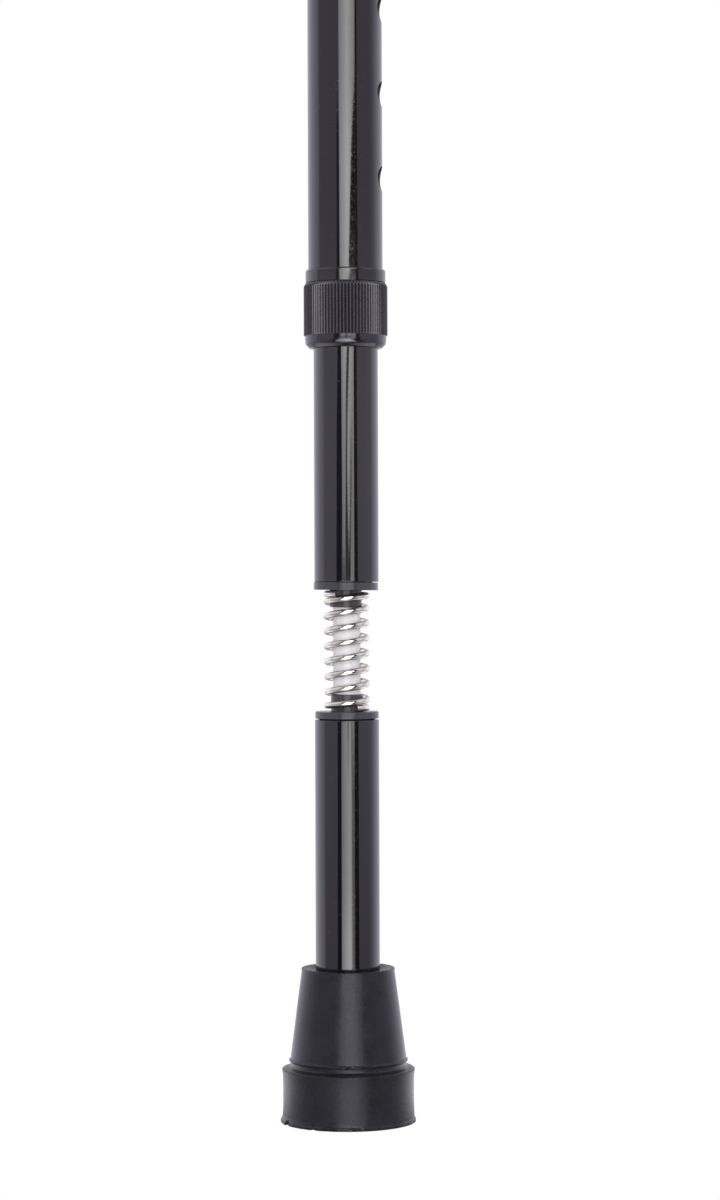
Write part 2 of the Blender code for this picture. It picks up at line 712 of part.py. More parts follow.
def make_button_spring(parts, cutters, inner, front):
    """Strip bent into a V: one leg behind the button, the other along the tube's far wall."""
    wall = math.sqrt((LEG_BORE_R - CLEARANCE) ** 2 - (STRIP_WIDTH / 2) ** 2)
    far = -(wall - STRIP_THICKNESS / 2)
    bend = Vector((far + STRIP_BEND_R, 0, -STRIP_DROP))
    knee = Vector((front, 0, -STRIP_LEG))
    reach = knee - bend
    tangent = math.atan2(reach.z, reach.x) - math.acos(STRIP_BEND_R / reach.length)
    path = [Vector((front, 0, STRIP_LEG)), knee]
    for angle in np.linspace(tangent, -math.pi, 9):
        path.append(bend + STRIP_BEND_R * Vector((math.cos(angle), 0, math.sin(angle))))
    path.append(Vector((far, 0, STRIP_LEG)))
    half = Vector((0, STRIP_WIDTH / 2, 0))
    mesh = bpy.data.meshes.new("button_spring")
    corners = [corner for point in path for corner in (point - half, point + half)]
    faces = [(2 * i, 2 * i + 2, 2 * i + 3, 2 * i + 1) for i in range(len(path) - 1)]
    mesh.from_pydata(corners, [], faces)
    strip = add_object("button_spring", mesh, parts)
    solid = strip.modifiers.new("Thickness", "SOLIDIFY")
    solid.thickness = STRIP_THICKNESS
    solid.offset = 0
    solid.use_even_offset = True
    hole_r = RIVET_D / 2 + CLEARANCE
    hole = rod_along("strip_hole", (1, 0, 0), hole_r, LEG_R, (front, 0, 0), cutters, 16)
    combine(strip, hole, "DIFFERENCE")
    turn = (0, 0, math.radians(HOLE_AZIMUTH))
    finish(strip, "zinc_steel", BUTTON_Z, inner, turn)


def rib_outline():
    """Outline of the knurl: flat-topped ribs with sloping sides."""
    root = NUT_R - NUT_KNURL_DEPTH
    step = 2 * math.pi / NUT_RIBS
    outline = []
    for i in range(NUT_RIBS):
        for share, radius in ((0.00, root), (0.22, root), (0.40, NUT_R), (0.82, NUT_R)):
            angle = (i + share) * step
            outline.append((radius * math.cos(angle), radius * math.sin(angle)))
    return outline


def make_lock_nut(parts, cutters, nut):
    """Ribbed nut with a rounded smooth foot. Its bore clears the tube and narrows to a wedge seat."""
    lip_r = OUTER_BORE_R + NUT_LIP_WALL
    foot = [
        (lip_r + (NUT_SMOOTH_R - lip_r) * math.sin(a), NUT_SMOOTH_HEIGHT * (1 - math.cos(a)))
        for a in np.linspace(math.pi / 2, 0, 5)
    ]
    core_r = NUT_R - 2 * NUT_KNURL_DEPTH
    profile = [(0, NUT_HEIGHT), (core_r, NUT_HEIGHT), (core_r, NUT_SMOOTH_HEIGHT), *foot, (0, 0)]
    body = turned("lock_nut", profile, LARGE_STEPS, parts)
    ribs = prism("lock_nut_ribs", rib_outline(), NUT_HEIGHT - NUT_SMOOTH_HEIGHT, cutters)
    ribs.location.z = NUT_SMOOTH_HEIGHT
    combine(body, ribs, "UNION")
    seat_top = NUT_SEAT + CLAMP_HEIGHT
    bore = [
        (NUT_BORE_R, 2 * NUT_HEIGHT),
        (NUT_BORE_R, seat_top),
        (NUT_BORE_R - CLAMP_TAPER, NUT_SEAT),
        (OUTER_BORE_R, NUT_SEAT),
        (OUTER_BORE_R, -NUT_HEIGHT),
    ]
    bore = [(0, 2 * NUT_HEIGHT), *bore, (0, -NUT_HEIGHT)]
    combine(body, turned("lock_nut_bore", bore, LARGE_STEPS, cutters), "DIFFERENCE")
    shave = [
        (NUT_R + NUT_CHAMFER, NUT_HEIGHT + NUT_CHAMFER),
        (NUT_R + NUT_CHAMFER, NUT_HEIGHT - 2 * NUT_CHAMFER),
        (NUT_R - 2 * NUT_CHAMFER, NUT_HEIGHT + NUT_CHAMFER),
    ]
    combine(body, turned("lock_nut_shave", shave, LARGE_STEPS, cutters), "DIFFERENCE")
    finish(body, "black_plastic", NUT_Z, nut)


def make_clamp_ring(parts, cutters, clamp):
    """Split wedge ring that the nut squeezes round the inner tube."""
    foot_r = NUT_BORE_R - CLAMP_TAPER - CLEARANCE
    top_r = foot_r + CLAMP_TAPER
    profile = [
        (top_r, CLAMP_HEIGHT),
        (foot_r, 0),
        (OUTER_BORE_R, 0),
        (OUTER_BORE_R, CLAMP_HEIGHT),
    ]
    ring = turned("clamp_ring", profile, LARGE_STEPS, parts)
    centre = (-OUTER_R, 0, CLAMP_HEIGHT / 2)
    slit = block("clamp_slit", (OUTER_R, CLAMP_SLIT, 2 * CLAMP_HEIGHT), centre, cutters)
    combine(ring, slit, "DIFFERENCE")
    finish(ring, "white_nylon", CLAMP_Z, clamp)


def make_stop_ring(parts):
    """Smooth ring on the outer tube, above the nut."""
    bore = OUTER_R + CLEARANCE
    radius = bore + STOP_RING_WALL
    edge = STOP_RING_EDGE
    corner = arc(radius - edge, STOP_RING_HEIGHT - edge, edge, 90, 0, 3)
    profile = [*corner, (radius, 0), (bore, 0), (bore, STOP_RING_HEIGHT)]
    finish(turned("stop_ring", profile, LARGE_STEPS, parts), "black_plastic", STOP_RING_Z)


def grip_rings():
    """Rings of the grip's cage, square to its curved centre line."""
    level = NECK_HEIGHT + GRIP_DEPTH / 2
    swell = 3 / (2 + math.cos(2 * math.pi / GRIP_SIDES))
    centres = []
    for along, rise, _, _ in GRIP_STATIONS:
        centres.append(Vector((along * GRIP_LENGTH - GRIP_REACH, 0, level + rise * GRIP_DEPTH)))
    rings = []
    for i, (_, _, depth, width) in enumerate(GRIP_STATIONS):
        ahead = centres[min(i + 1, len(centres) - 1)] - centres[max(i - 1, 0)]
        up = Vector((-ahead.z, 0, ahead.x)).normalized()
        side = Vector((0, 1, 0))
        ring = []
        for k in range(GRIP_SIDES):
            angle = 2 * math.pi * k / GRIP_SIDES
            across = side * (width * GRIP_WIDTH / 2 * swell * math.cos(angle))
            rise = up * (depth * GRIP_DEPTH / 2 * swell * math.sin(angle))
            ring.append(centres[i] + across + rise)
        rings.append(ring)
    return rings


def grip_underside(x, y):
    """How far the grip's underside lies above the neck's nominal top, at this place."""
    along = (x + GRIP_REACH) / GRIP_LENGTH
    stops, rises, depths, widths = zip(*GRIP_STATIONS)
    half_width = np.interp(along, stops, widths) * GRIP_WIDTH / 2
    bulge = math.sqrt(max(0.0, 1 - (y / half_width) ** 2))
    middle = GRIP_DEPTH * (0.5 + np.interp(along, stops, rises))
    return middle - bulge * np.interp(along, stops, depths) * GRIP_DEPTH / 2


def neck_rings():
    """Rings of the neck: round on the collar, widening in a fillet that meets the grip's underside."""
    rings = [ring_of_points(COLLAR_R, COLLAR_R, CLEARANCE)]
    for angle in np.linspace(0, math.pi / 2, 6):
        share = math.sin(angle)
        half_x = COLLAR_R + NECK_FILLET * (1 - math.cos(angle))
        height = NECK_HEIGHT - NECK_FILLET * (1 - share)
        ring = ring_of_points(half_x, COLLAR_R, height)
        rings.append([(x, y, z + share**2 * (grip_underside(x, y) + NECK_SINK)) for x, y, z in ring])
    rings.append(ring_of_points(COLLAR_R / 2, COLLAR_R / 2, NECK_HEIGHT + GRIP_DEPTH / 2))
    return rings


def make_handle(parts, cutters):
    """Moulded handle with its spigot in the tube, the collar round the joint, and the pin through it."""
    grip = loft("handle_grip", grip_rings(), parts)
    smooth = grip.modifiers.new("Round", "SUBSURF")
    smooth.levels = 2
    smooth.render_levels = 2
    combine(grip, loft("handle_neck", neck_rings(), cutters), "UNION")
    spigot_r = OUTER_BORE_R - CLEARANCE
    overlap = NECK_HEIGHT / 2
    spigot_centre = (0, 0, (overlap - SPIGOT_LENGTH) / 2)
    spigot = rod_along(
        "handle_spigot",
        (0, 0, 1),
        spigot_r,
        SPIGOT_LENGTH + overlap,
        spigot_centre,
        cutters,
        LARGE_STEPS,
    )
    combine(grip, spigot, "UNION")
    pin_centre = (0, 0, -PIN_DROP)
    pin_hole_r = PIN_D / 2 + CLEARANCE
    hole = rod_along("handle_pin_hole", (0, 1, 0), pin_hole_r, 4 * OUTER_R, pin_centre, cutters)
    combine(grip, hole, "DIFFERENCE")
    finish(grip, "black_plastic", TUBE_TOP_Z)
    bore = OUTER_R + CLEARANCE
    edge = COLLAR_EDGE
    corner = arc(COLLAR_R - edge, edge - COLLAR_HEIGHT, edge, 0, -90, 3)
    profile = [(COLLAR_R, 0), *corner, (bore, -COLLAR_HEIGHT), (bore, 0)]
    collar = turned("handle_collar", profile, LARGE_STEPS, parts)
    finish(collar, "black_plastic", TUBE_TOP_Z)
    pin_length = 2 * (OUTER_R - CLEARANCE)
    pin = rod_along("handle_pin", (0, 1, 0), PIN_D / 2, pin_length, (0, 0, 0), parts)
    finish(pin, "zinc_steel", TUBE_TOP_Z - PIN_DROP)


def main():
    """Build the stick."""
    clear_scene()
    parts = new_collection("adjustable_walking_stick")
    cutters = new_collection("cutters")
    inner = add_carrier("height_slide", BUTTON_Z, None, parts)
    button = add_carrier("button_press", BUTTON_Z, inner, parts)
    leg = add_carrier("shock_slide", LOWER_SEAT_Z, inner, parts)
    clamp = add_carrier("clamp_slide", CLAMP_Z, None, parts)
    nut = add_carrier("nut_turn", NUT_Z, clamp, parts)
    make_ferrule(parts, leg)
    make_lower_cap(parts, cutters, leg)
    make_upper_cap(parts, cutters, inner)
    make_guide_rod(parts, cutters, leg)
    make_rod_stop(parts, cutters, leg, inner)
    make_coil_spring(parts, inner)
    make_tubes(parts, cutters, leg, inner)
    make_glide(parts, inner)
    strip_front = make_button(parts, button)
    make_button_spring(parts, cutters, inner, strip_front)
    make_lock_nut(parts, cutters, nut)
    make_clamp_ring(parts, cutters, clamp)
    make_stop_ring(parts)
    make_handle(parts, cutters)


main()
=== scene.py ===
"""Looks of the adjustable walking stick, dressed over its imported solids.

Sizes in the modelling functions are in millimetres, and MM turns them into metres. Heights come from the
solids' own boxes. Sizes in the materials are in metres.
"""

import math

import bpy
import numpy as np
from mathutils import Matrix, Vector


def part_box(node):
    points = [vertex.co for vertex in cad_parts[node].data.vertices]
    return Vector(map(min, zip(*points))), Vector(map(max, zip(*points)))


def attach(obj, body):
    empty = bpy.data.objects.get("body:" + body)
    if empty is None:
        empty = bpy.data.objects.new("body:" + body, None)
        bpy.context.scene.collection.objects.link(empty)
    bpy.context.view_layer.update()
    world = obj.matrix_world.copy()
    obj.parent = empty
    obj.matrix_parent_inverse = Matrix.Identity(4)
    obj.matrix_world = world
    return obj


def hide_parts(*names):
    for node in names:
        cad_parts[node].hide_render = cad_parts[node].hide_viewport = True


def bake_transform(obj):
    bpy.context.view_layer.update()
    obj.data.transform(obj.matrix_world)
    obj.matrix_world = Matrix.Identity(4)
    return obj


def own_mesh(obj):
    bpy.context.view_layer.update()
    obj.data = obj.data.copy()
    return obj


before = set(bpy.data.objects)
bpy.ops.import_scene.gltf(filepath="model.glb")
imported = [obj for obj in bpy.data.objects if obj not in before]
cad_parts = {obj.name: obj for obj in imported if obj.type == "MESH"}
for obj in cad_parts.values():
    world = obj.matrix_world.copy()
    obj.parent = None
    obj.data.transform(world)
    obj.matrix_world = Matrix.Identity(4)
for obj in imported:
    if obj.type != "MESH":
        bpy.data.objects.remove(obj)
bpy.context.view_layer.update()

MM = 0.001
ROUND_STEPS = 192

# Sizes of the tubes, their holes, the rod, the caps' bosses and the spring, in millimetres
LEG_R = 9.5
LEG_BORE_R = 8.3
OUTER_R = 11.0
OUTER_BORE_R = 9.8
HOLE_R = 3.8
HOLE_PITCH = 25.0
ROD_R = 4.08
SCREW_HOLE_R = 2.3
BOSS_R = 4.75
BOSS_HEIGHT = 5.1
WIRE_R = 0.96
COIL_R = 5.87

# The way that the side holes and the button face, and the level way across it
HOLE_AZIMUTH = math.radians(-4.5)
FACING = np.array([math.cos(HOLE_AZIMUTH), math.sin(HOLE_AZIMUTH), 0])
ACROSS = np.array([-math.sin(HOLE_AZIMUTH), math.cos(HOLE_AZIMUTH), 0])


# ---------------------------------------------------------------- modelling helpers


def span(node):
    """Lowest and highest point of a solid, in millimetres."""
    low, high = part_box(node)
    return low.z / MM, high.z / MM


def clear_selection():
    """Leave edit mode and select nothing."""
    if bpy.context.object and bpy.context.object.mode != "OBJECT":
        bpy.ops.object.mode_set(mode="OBJECT")
    bpy.ops.object.select_all(action="DESELECT")


def take(piece):
    """Make a piece the only one that is selected and active."""
    clear_selection()
    piece.select_set(True)
    bpy.context.view_layer.objects.active = piece
    return piece


def named(name):
    """Give the object that was just added its name."""
    piece = bpy.context.object
    piece.name = name
    piece.data.name = name
    return piece


def pick(piece, kind, test):
    """Go into edit mode with the vertices, edges or faces selected whose middle, in mm, passes the test."""
    take(piece)
    mesh = piece.data
    places = np.empty(len(mesh.vertices) * 3)
    mesh.vertices.foreach_get("co", places)
    places = places.reshape(-1, 3) / MM
    for group in (mesh.vertices, mesh.edges, mesh.polygons):
        group.foreach_set("select", [False] * len(group))
    if kind == "VERT":
        mesh.vertices.foreach_set("select", [bool(test(place)) for place in places])
    elif kind == "EDGE":
        mesh.edges.foreach_set("select", [bool(test(*places[list(edge.vertices)])) for edge in mesh.edges])
    else:
        middles = [places[list(face.vertices)].mean(axis=0) for face in mesh.polygons]
        mesh.polygons.foreach_set("select", [bool(test(middle)) for middle in middles])
    bpy.context.tool_settings.mesh_select_mode = (kind == "VERT", kind == "EDGE", kind == "FACE")
    bpy.ops.object.mode_set(mode="EDIT")


def leave_edit():
    """Back to object mode."""
    bpy.ops.object.mode_set(mode="OBJECT")


def apply_modifiers(piece):
    """Apply every modifier of a piece."""
    take(piece)
    for modifier in list(piece.modifiers):
        bpy.ops.object.modifier_apply(modifier=modifier.name)


def seat(piece):
    """Put a piece's place, turn and scale into its mesh."""
    take(piece)
    bpy.ops.object.transform_apply(location=True, rotation=True, scale=True)
    return piece


def shade(piece, angle=30):
    """Shade smooth, but for edges sharper than this angle."""
    take(piece)
    bpy.ops.object.shade_smooth_by_angle(angle=math.radians(angle))
    return piece


def turned(name, corners, steps=ROUND_STEPS):
    """A turned piece. Its corners are (radius, height, rounding) round its half section.

    The section is a ring of vertices moved to the corners, which are rounded and then spun about the axis.
    """
    clear_selection()
    bpy.ops.mesh.primitive_circle_add(vertices=len(corners), radius=MM, fill_type="NOTHING")
    piece = named(name)
    for vertex, (radius, height, _) in zip(piece.data.vertices, corners):
        vertex.co = (radius * MM, 0, height * MM)
    for rounding in sorted({corner[2] for corner in corners if corner[2] > 0}):
        spots = [(radius, height) for radius, height, size in corners if size == rounding]
        pick(piece, "VERT", lambda v: any(math.hypot(v[0] - r, v[2] - h) < 1e-4 for r, h in spots))
        bpy.ops.mesh.bevel(offset=rounding * MM, segments=5, affect="VERTICES", clamp_overlap=True)
        leave_edit()
    pick(piece, "EDGE", lambda a, b: a[0] < 1e-6 and b[0] < 1e-6)
    bpy.ops.mesh.delete(type="EDGE")
    bpy.ops.mesh.select_all(action="SELECT")
    bpy.ops.mesh.spin(steps=steps, angle=2 * math.pi, center=(0, 0, 0), axis=(0, 0, 1))
    bpy.ops.mesh.select_all(action="SELECT")
    bpy.ops.mesh.remove_doubles(threshold=0.000002)
    bpy.ops.mesh.normals_make_consistent(inside=False)
    leave_edit()
    return shade(piece)


def drill(name, radius, depth, centre, direction):
    """A round cutter along a direction, about a centre."""
    clear_selection()
    turn = Vector(direction).to_track_quat("Z", "Y").to_euler()
    bpy.ops.mesh.primitive_cylinder_add(
        vertices=64, radius=radius * MM, depth=depth * MM, location=Vector(centre) * MM, rotation=turn
    )
    return seat(named(name))


def cut(piece, tool):
    """Cut a tool's shape out of a piece, and throw the tool away."""
    modifier = piece.modifiers.new("Cut", "BOOLEAN")
    modifier.operation = "DIFFERENCE"
    modifier.solver = "EXACT"
    modifier.object = tool
    apply_modifiers(piece)
    bpy.data.objects.remove(tool, do_unlink=True)


def weigh_normals(piece):
    """Let the large faces set the shading, so that a gloss finish runs on evenly beside a cut."""
    take(piece)
    modifier = piece.modifiers.new("Even gloss", "WEIGHTED_NORMAL")
    modifier.keep_sharp = True
    apply_modifiers(piece)


def copied(name, node):
    """A copy of a solid, as one closed skin."""
    clear_selection()
    piece = bpy.data.objects.new(name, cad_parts[node].data.copy())
    bpy.context.scene.collection.objects.link(piece)
    pick(piece, "VERT", lambda v: True)
    bpy.ops.mesh.remove_doubles(threshold=0.00001)
    leave_edit()
    return piece


def wear(piece, body, slot, look, *nodes):
    """Finish a piece: its material, the body that it moves with, and the solids that it stands for."""
    piece.data.materials.clear()
    piece.data.materials.append(look)
    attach(piece, body)
    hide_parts(*nodes)
    return piece


def face_look(piece, look, test):
    """Give the faces whose middle passes the test a second material."""
    if look.name not in piece.data.materials:
        piece.data.materials.append(look)
    pick(piece, "FACE", test)
    piece.active_material_index = piece.data.materials.find(look.name)
    bpy.ops.object.material_slot_assign()
    leave_edit()


# ---------------------------------------------------------------- shader helpers


class Value:
    """A socket that takes part in sums: each sign adds its Math node."""

    def __init__(self, shader, socket):
        self.shader = shader
        self.socket = socket

    def math(self, operation, *others, swap=False):
        values = (*others, self) if swap else (self, *others)
        return self.shader.node("ShaderNodeMath", {"operation": operation}, dict(enumerate(values)))

    def __add__(self, other):
        return self.math("ADD", other)

    __radd__ = __add__

    def __sub__(self, other):
        return self.math("SUBTRACT", other)

    def __rsub__(self, other):
        return self.math("SUBTRACT", other, swap=True)

    def __mul__(self, other):
        return self.math("MULTIPLY", other)

    __rmul__ = __mul__

    def __truediv__(self, other):
        return self.math("DIVIDE", other)

    def __abs__(self):
        return self.math("ABSOLUTE")

    def rise(self, low, high):
        """0 below low, 1 above high, and a smooth step between them."""
        sockets = {"Value": self, "From Min": low, "From Max": high}
        return self.shader.node("ShaderNodeMapRange", {"interpolation_type": "SMOOTHSTEP"}, sockets)

    def fall(self, low, high):
        """1 below low, 0 above high."""
        return 1 - self.rise(low, high)

    def along(self, *points):
        """A bent line through these points of (value, result)."""
        start, end = points[0][0], points[-1][0]
        lowest = min(result for _, result in points)
        reach = max(result for _, result in points) - lowest
        stops = [((value - start) / (end - start), (result - lowest) / reach) for value, result in points]
        share = (self - start) / (end - start)
        return self.shader.node("ShaderNodeValToRGB", {"stops": stops}, {"Fac": share}) * reach + lowest


class Shader:
    """The nodes of a material or of the world."""

    def __init__(self, tree):
        self.tree = tree
        tree.nodes.clear()

    def node(self, kind, settings=None, sockets=None, output=0):
        """A node with its settings and its sockets' values or links. Gives one of its outputs."""
        node = self.tree.nodes.new(kind)
        for key, value in (settings or {}).items():
            if key == "stops":
                self.set_stops(node.color_ramp, value)
            else:
                setattr(node, key, value)
        for key, value in (sockets or {}).items():
            socket = node.inputs[key]
            if isinstance(value, Value):
                self.tree.links.new(value.socket, socket)
            elif socket.type == "RGBA" and len(value) == 3:
                socket.default_value = (*value, 1)
            else:
                socket.default_value = value
        return Value(self, node.outputs[output]) if node.outputs else None

    def set_stops(self, ramp, stops):
        """Set a ramp's stops, (position, grey)."""
        while len(ramp.elements) < len(stops):
            ramp.elements.new(1.0)
        for element, (position, grey) in zip(ramp.elements, stops):
            element.position = position
            element.color = (grey, grey, grey, 1)

    def place(self, scale=(1, 1, 1), offset=(0, 0, 0)):
        """The piece's own coordinates, in metres, scaled and moved."""
        coords = self.node("ShaderNodeTexCoord", output="Object")
        if scale == (1, 1, 1) and offset == (0, 0, 0):
            return coords
        return self.node("ShaderNodeMapping", {}, {"Vector": coords, "Scale": scale, "Location": offset})

    def noise(self, vector, scale, detail=2.0, roughness=0.5):
        """Cloudy noise from 0 to 1."""
        sockets = {"Vector": vector, "Scale": scale, "Detail": detail, "Roughness": roughness}
        return self.node("ShaderNodeTexNoise", {}, sockets, "Fac")

    def cells(self, vector, scale):
        """Cellular pattern: distance to the nearest point."""
        return self.node("ShaderNodeTexVoronoi", {}, {"Vector": vector, "Scale": scale}, "Distance")

    def mix(self, share, first, second):
        """A colour between two others."""
        sockets = {"Factor": share, 6: first, 7: second}
        return self.node("ShaderNodeMix", {"data_type": "RGBA"}, sockets, 2)

    def split(self, vector):
        """The three numbers of a vector."""
        node = self.node("ShaderNodeSeparateXYZ", {}, {"Vector": vector}).socket.node
        return [Value(self, socket) for socket in node.outputs]

    def bump(self, height, distance, strength=1.0, under=None):
        """Relief of this depth in metres."""
        sockets = {"Height": height, "Distance": distance, "Strength": strength}
        if under is not None:
            sockets["Normal"] = under
        return self.node("ShaderNodeBump", {}, sockets)

    def surface(self, **sockets):
        """Close the material with a Principled surface. Underlines in the names stand for spaces."""
        named_sockets = {key.replace("_", " "): value for key, value in sockets.items()}
        shader = self.node("ShaderNodeBsdfPrincipled", {}, named_sockets)
        self.node("ShaderNodeOutputMaterial", {}, {"Surface": shader})


def azimuth_of(x, y):
    """Degrees round the stick's axis, 0 towards the camera and growing to the right."""
    return x.math("ARCTAN2", 0 - y) * (180 / math.pi)


def new_material(name):
    """An empty material and its shader helper."""
    material = bpy.data.materials.new(name)
    material.use_nodes = True
    return material, Shader(material.node_tree)


# ---------------------------------------------------------------- materials


def gloss_black_paint():
    """Gloss black tube finish: drawn lines along the tube, fine dust, pale specks in a narrow band on the side
    facing the camera, and hairline marks.
    """
    material, shader = new_material("gloss_black_paint")
    place = shader.place()
    drawn = shader.noise(shader.place((1, 1, 0.015)), 1400, 3)
    cloud = shader.noise(place, 60, 3)
    peel = shader.noise(place, 700, 2)
    dust = shader.cells(place, 1100).fall(0.10, 0.24) * shader.noise(place, 240, 2).rise(0.54, 0.66)
    hairline = shader.noise(shader.place((0.06, 0.06, 1)), 2600, 2).rise(0.70, 0.78)
    hairline = hairline * shader.noise(shader.place(offset=(3, 1, 2)), 55, 2).rise(0.60, 0.70)
    x, y, _ = shader.split(place)
    # Pale specks in a narrow band 12.5 degrees right of the side facing the camera, where the dark streak of
    # the reflection lies; from here on they are mixed in with the dust.
    speck_band = abs(azimuth_of(x, y) - 12.5).fall(4, 8) * shader.cells(place, 3000).fall(0.12, 0.34)
    speck_band = speck_band * shader.noise(shader.place(offset=(6, 2, 4)), 900, 2).rise(0.50, 0.58)
    dust = dust.math("MAXIMUM", speck_band)
    scuff = shader.noise(shader.place((1, 1, 0.5)), 3600, 3, 0.7)
    colour = shader.mix(dust * 0.55 + hairline * 0.10, (0.0062, 0.0058, 0.0072), (0.075, 0.073, 0.075))
    roughness = 0.03 + 0.03 * drawn + 0.03 * cloud.rise(0.5, 0.8) + 0.12 * dust + 0.05 * hairline
    roughness = roughness + 0.10 * scuff.rise(0.60, 0.75)
    relief = shader.bump(peel * 0.5 + drawn * 0.5, 0.0000035)
    relief = shader.bump(dust - hairline * 0.3, 0.000006, 0.6, relief)
    shader.surface(Base_Color=colour, Roughness=roughness, Normal=relief, IOR=1.8)
    return material


def punched_edge():
    """Dull dark walls of the punched holes."""
    material, shader = new_material("punched_edge")
    tear = shader.noise(shader.place(), 1500, 4, 0.7)
    base = shader.mix(tear, (0.006, 0.0055, 0.007), (0.018, 0.017, 0.019))
    relief = shader.bump(tear, 0.00004)
    shader.surface(Base_Color=base, Roughness=0.55 + 0.2 * tear, Normal=relief, IOR=1.25)
    return material


def sheared_wire():
    """Torn bright face where the spring wire was cut off."""
    material, shader = new_material("sheared_wire")
    tear = shader.noise(shader.place(), 1600, 4, 0.7)
    base = shader.mix(tear.rise(0.30, 0.55), (0.50, 0.40, 0.30), (0.92, 0.89, 0.84))
    relief = shader.bump(tear, 0.00006)
    shader.surface(Base_Color=base, Metallic=0.25, Roughness=0.4 + 0.2 * tear, Normal=relief)
    return material


def moulded_black(name, colour, shine, grain, depth, ior=1.5, seam=False, tint=(1, 1, 1, 1)):
    """Moulded black plastic: fine grain, slight flow clouds, scuffs and, on the grip, its mould line."""
    material, shader = new_material(name)
    place = shader.place()
    fine = shader.noise(place, grain, 3, 0.6)
    flow = shader.noise(shader.place((1, 1, 0.4)), 45, 3)
    scuff = shader.noise(shader.place(offset=(2, 5, 1)), 160, 4, 0.7).rise(0.64, 0.80)
    light = tuple(2.2 * part for part in colour)
    base = shader.mix(flow.rise(0.35, 0.75) * 0.25 + scuff * 0.30, colour, light)
    height = fine
    if seam:
        across = abs(shader.split(place)[1])
        height = fine + across.fall(0.00008, 0.00035) * 2.5
    roughness = shine + 0.06 * fine + 0.05 * flow + 0.05 * scuff
    relief = shader.bump(height, depth)
    shader.surface(Base_Color=base, Roughness=roughness, Normal=relief, IOR=ior, Specular_Tint=tint)
    return material


def foot_rubber():
    """Black rubber: soft mottling, mould streaks, faint dust and small pits."""
    material, shader = new_material("foot_rubber")
    place = shader.place()
    mottle = shader.noise(place, 150, 6, 0.7)
    streak = shader.noise(shader.place((1, 1, 0.06)), 420, 3, 0.6)
    grain = shader.noise(place, 1500, 4, 0.65)
    pits = shader.cells(place, 900).fall(0.10, 0.24) * shader.noise(place, 150, 1).rise(0.58, 0.68)
    speck = shader.cells(shader.place(offset=(1, 2, 3)), 1300).fall(0.12, 0.30)
    speck = speck * shader.noise(shader.place(offset=(4, 4, 0)), 210, 2).rise(0.54, 0.68)
    base = shader.mix(mottle.rise(0.30, 0.72), (0.0092, 0.0090, 0.0110), (0.0190, 0.0186, 0.0218))
    base = shader.mix(streak.rise(0.55, 0.85) * 0.35, base, (0.028, 0.028, 0.031))
    base = shader.mix(grain.rise(0.35, 0.75) * 0.25, base, (0.026, 0.0255, 0.029))
    fleck = shader.noise(shader.place(offset=(7, 1, 3)), 2800, 2, 0.5)
    base = shader.mix(fleck.rise(0.55, 0.75) * 0.30, base, (0.045, 0.045, 0.050))
    base = shader.mix(speck * 0.25, base, (0.12, 0.12, 0.12))
    roughness = 0.15 + 0.12 * mottle + 0.07 * streak + 0.07 * grain
    relief = shader.bump(grain * 0.5 + mottle * 0.8 + streak * 0.5, 0.00005)
    relief = shader.bump(speck * 0.15 - pits * 0.7, 0.00004, 0.6, relief)
    tint = (0.95, 0.93, 1.10, 1)
    shader.surface(Base_Color=base, Roughness=roughness, Normal=relief, IOR=1.45, Specular_Tint=tint)
    return material


def spring_wire():
    """Bright nickel-plated wire: draw marks, faint stains, and painted shade along its upper and lower sides.
    """
    material, shader = new_material("spring_wire")
    place = shader.place()
    drawn = shader.noise(shader.place((1, 1, 3)), 900, 3, 0.6)
    stain = shader.noise(place, 260, 3, 0.6).rise(0.52, 0.75)
    base = shader.mix(stain * 0.5, (0.82, 0.785, 0.74), (0.64, 0.56, 0.48))
    aside = shader.split(place)[0]
    up = shader.split(shader.node("ShaderNodeTexCoord", output="Normal"))[2]
    # Painted shade: dark brown on the wire's downward faces, fading out at the far right, and on its upward
    # faces, strongest just right of the middle.
    painted_shade_below = (0 - up).rise(0.60, 0.90) * aside.fall(0.0030, 0.0050) * 0.85
    painted_shade_above = aside.along((-0.005, 0.15), (0, 0.35), (0.0012, 0.85), (0.003, 0.85), (0.0058, 0.5))
    painted_shade = painted_shade_below + up.rise(0.74, 0.95) * painted_shade_above
    base = shader.mix(painted_shade * (0.6 + 0.4 * drawn), base, (0.10, 0.075, 0.07))
    roughness = 0.03 + 0.05 * drawn + 0.06 * stain
    relief = shader.bump(drawn, 0.000006)
    shader.surface(Base_Color=base, Metallic=1.0, Roughness=roughness, Normal=relief)
    return material


def white_nylon():
    """Milky white plastic with faint turning lines and soft clouds."""
    material, shader = new_material("white_nylon")
    lines = shader.noise(shader.place((0.05, 0.05, 1)), 1800, 2)
    cloud = shader.noise(shader.place(), 130, 3)
    base = shader.mix(cloud.rise(0.3, 0.7), (0.88, 0.88, 0.905), (0.93, 0.93, 0.945))
    roughness = 0.10 + 0.06 * lines + 0.05 * cloud
    relief = shader.bump(lines, 0.000008)
    shader.surface(Base_Color=base, Roughness=roughness, Normal=relief, IOR=1.5)
    return material


def zinc_plate():
    """Zinc-plated steel with a fine grain and a slight bluish cloud."""
    material, shader = new_material("zinc_plate")
    place = shader.place()
    grain = shader.noise(place, 1500, 3, 0.6)
    cloud = shader.noise(place, 220, 3)
    base = shader.mix(cloud.rise(0.35, 0.7), (0.56, 0.57, 0.60), (0.66, 0.66, 0.66))
    roughness = 0.22 + 0.16 * grain + 0.1 * cloud
    relief = shader.bump(grain, 0.000008)
    shader.surface(Base_Color=base, Metallic=1.0, Roughness=roughness, Normal=relief)
    return material


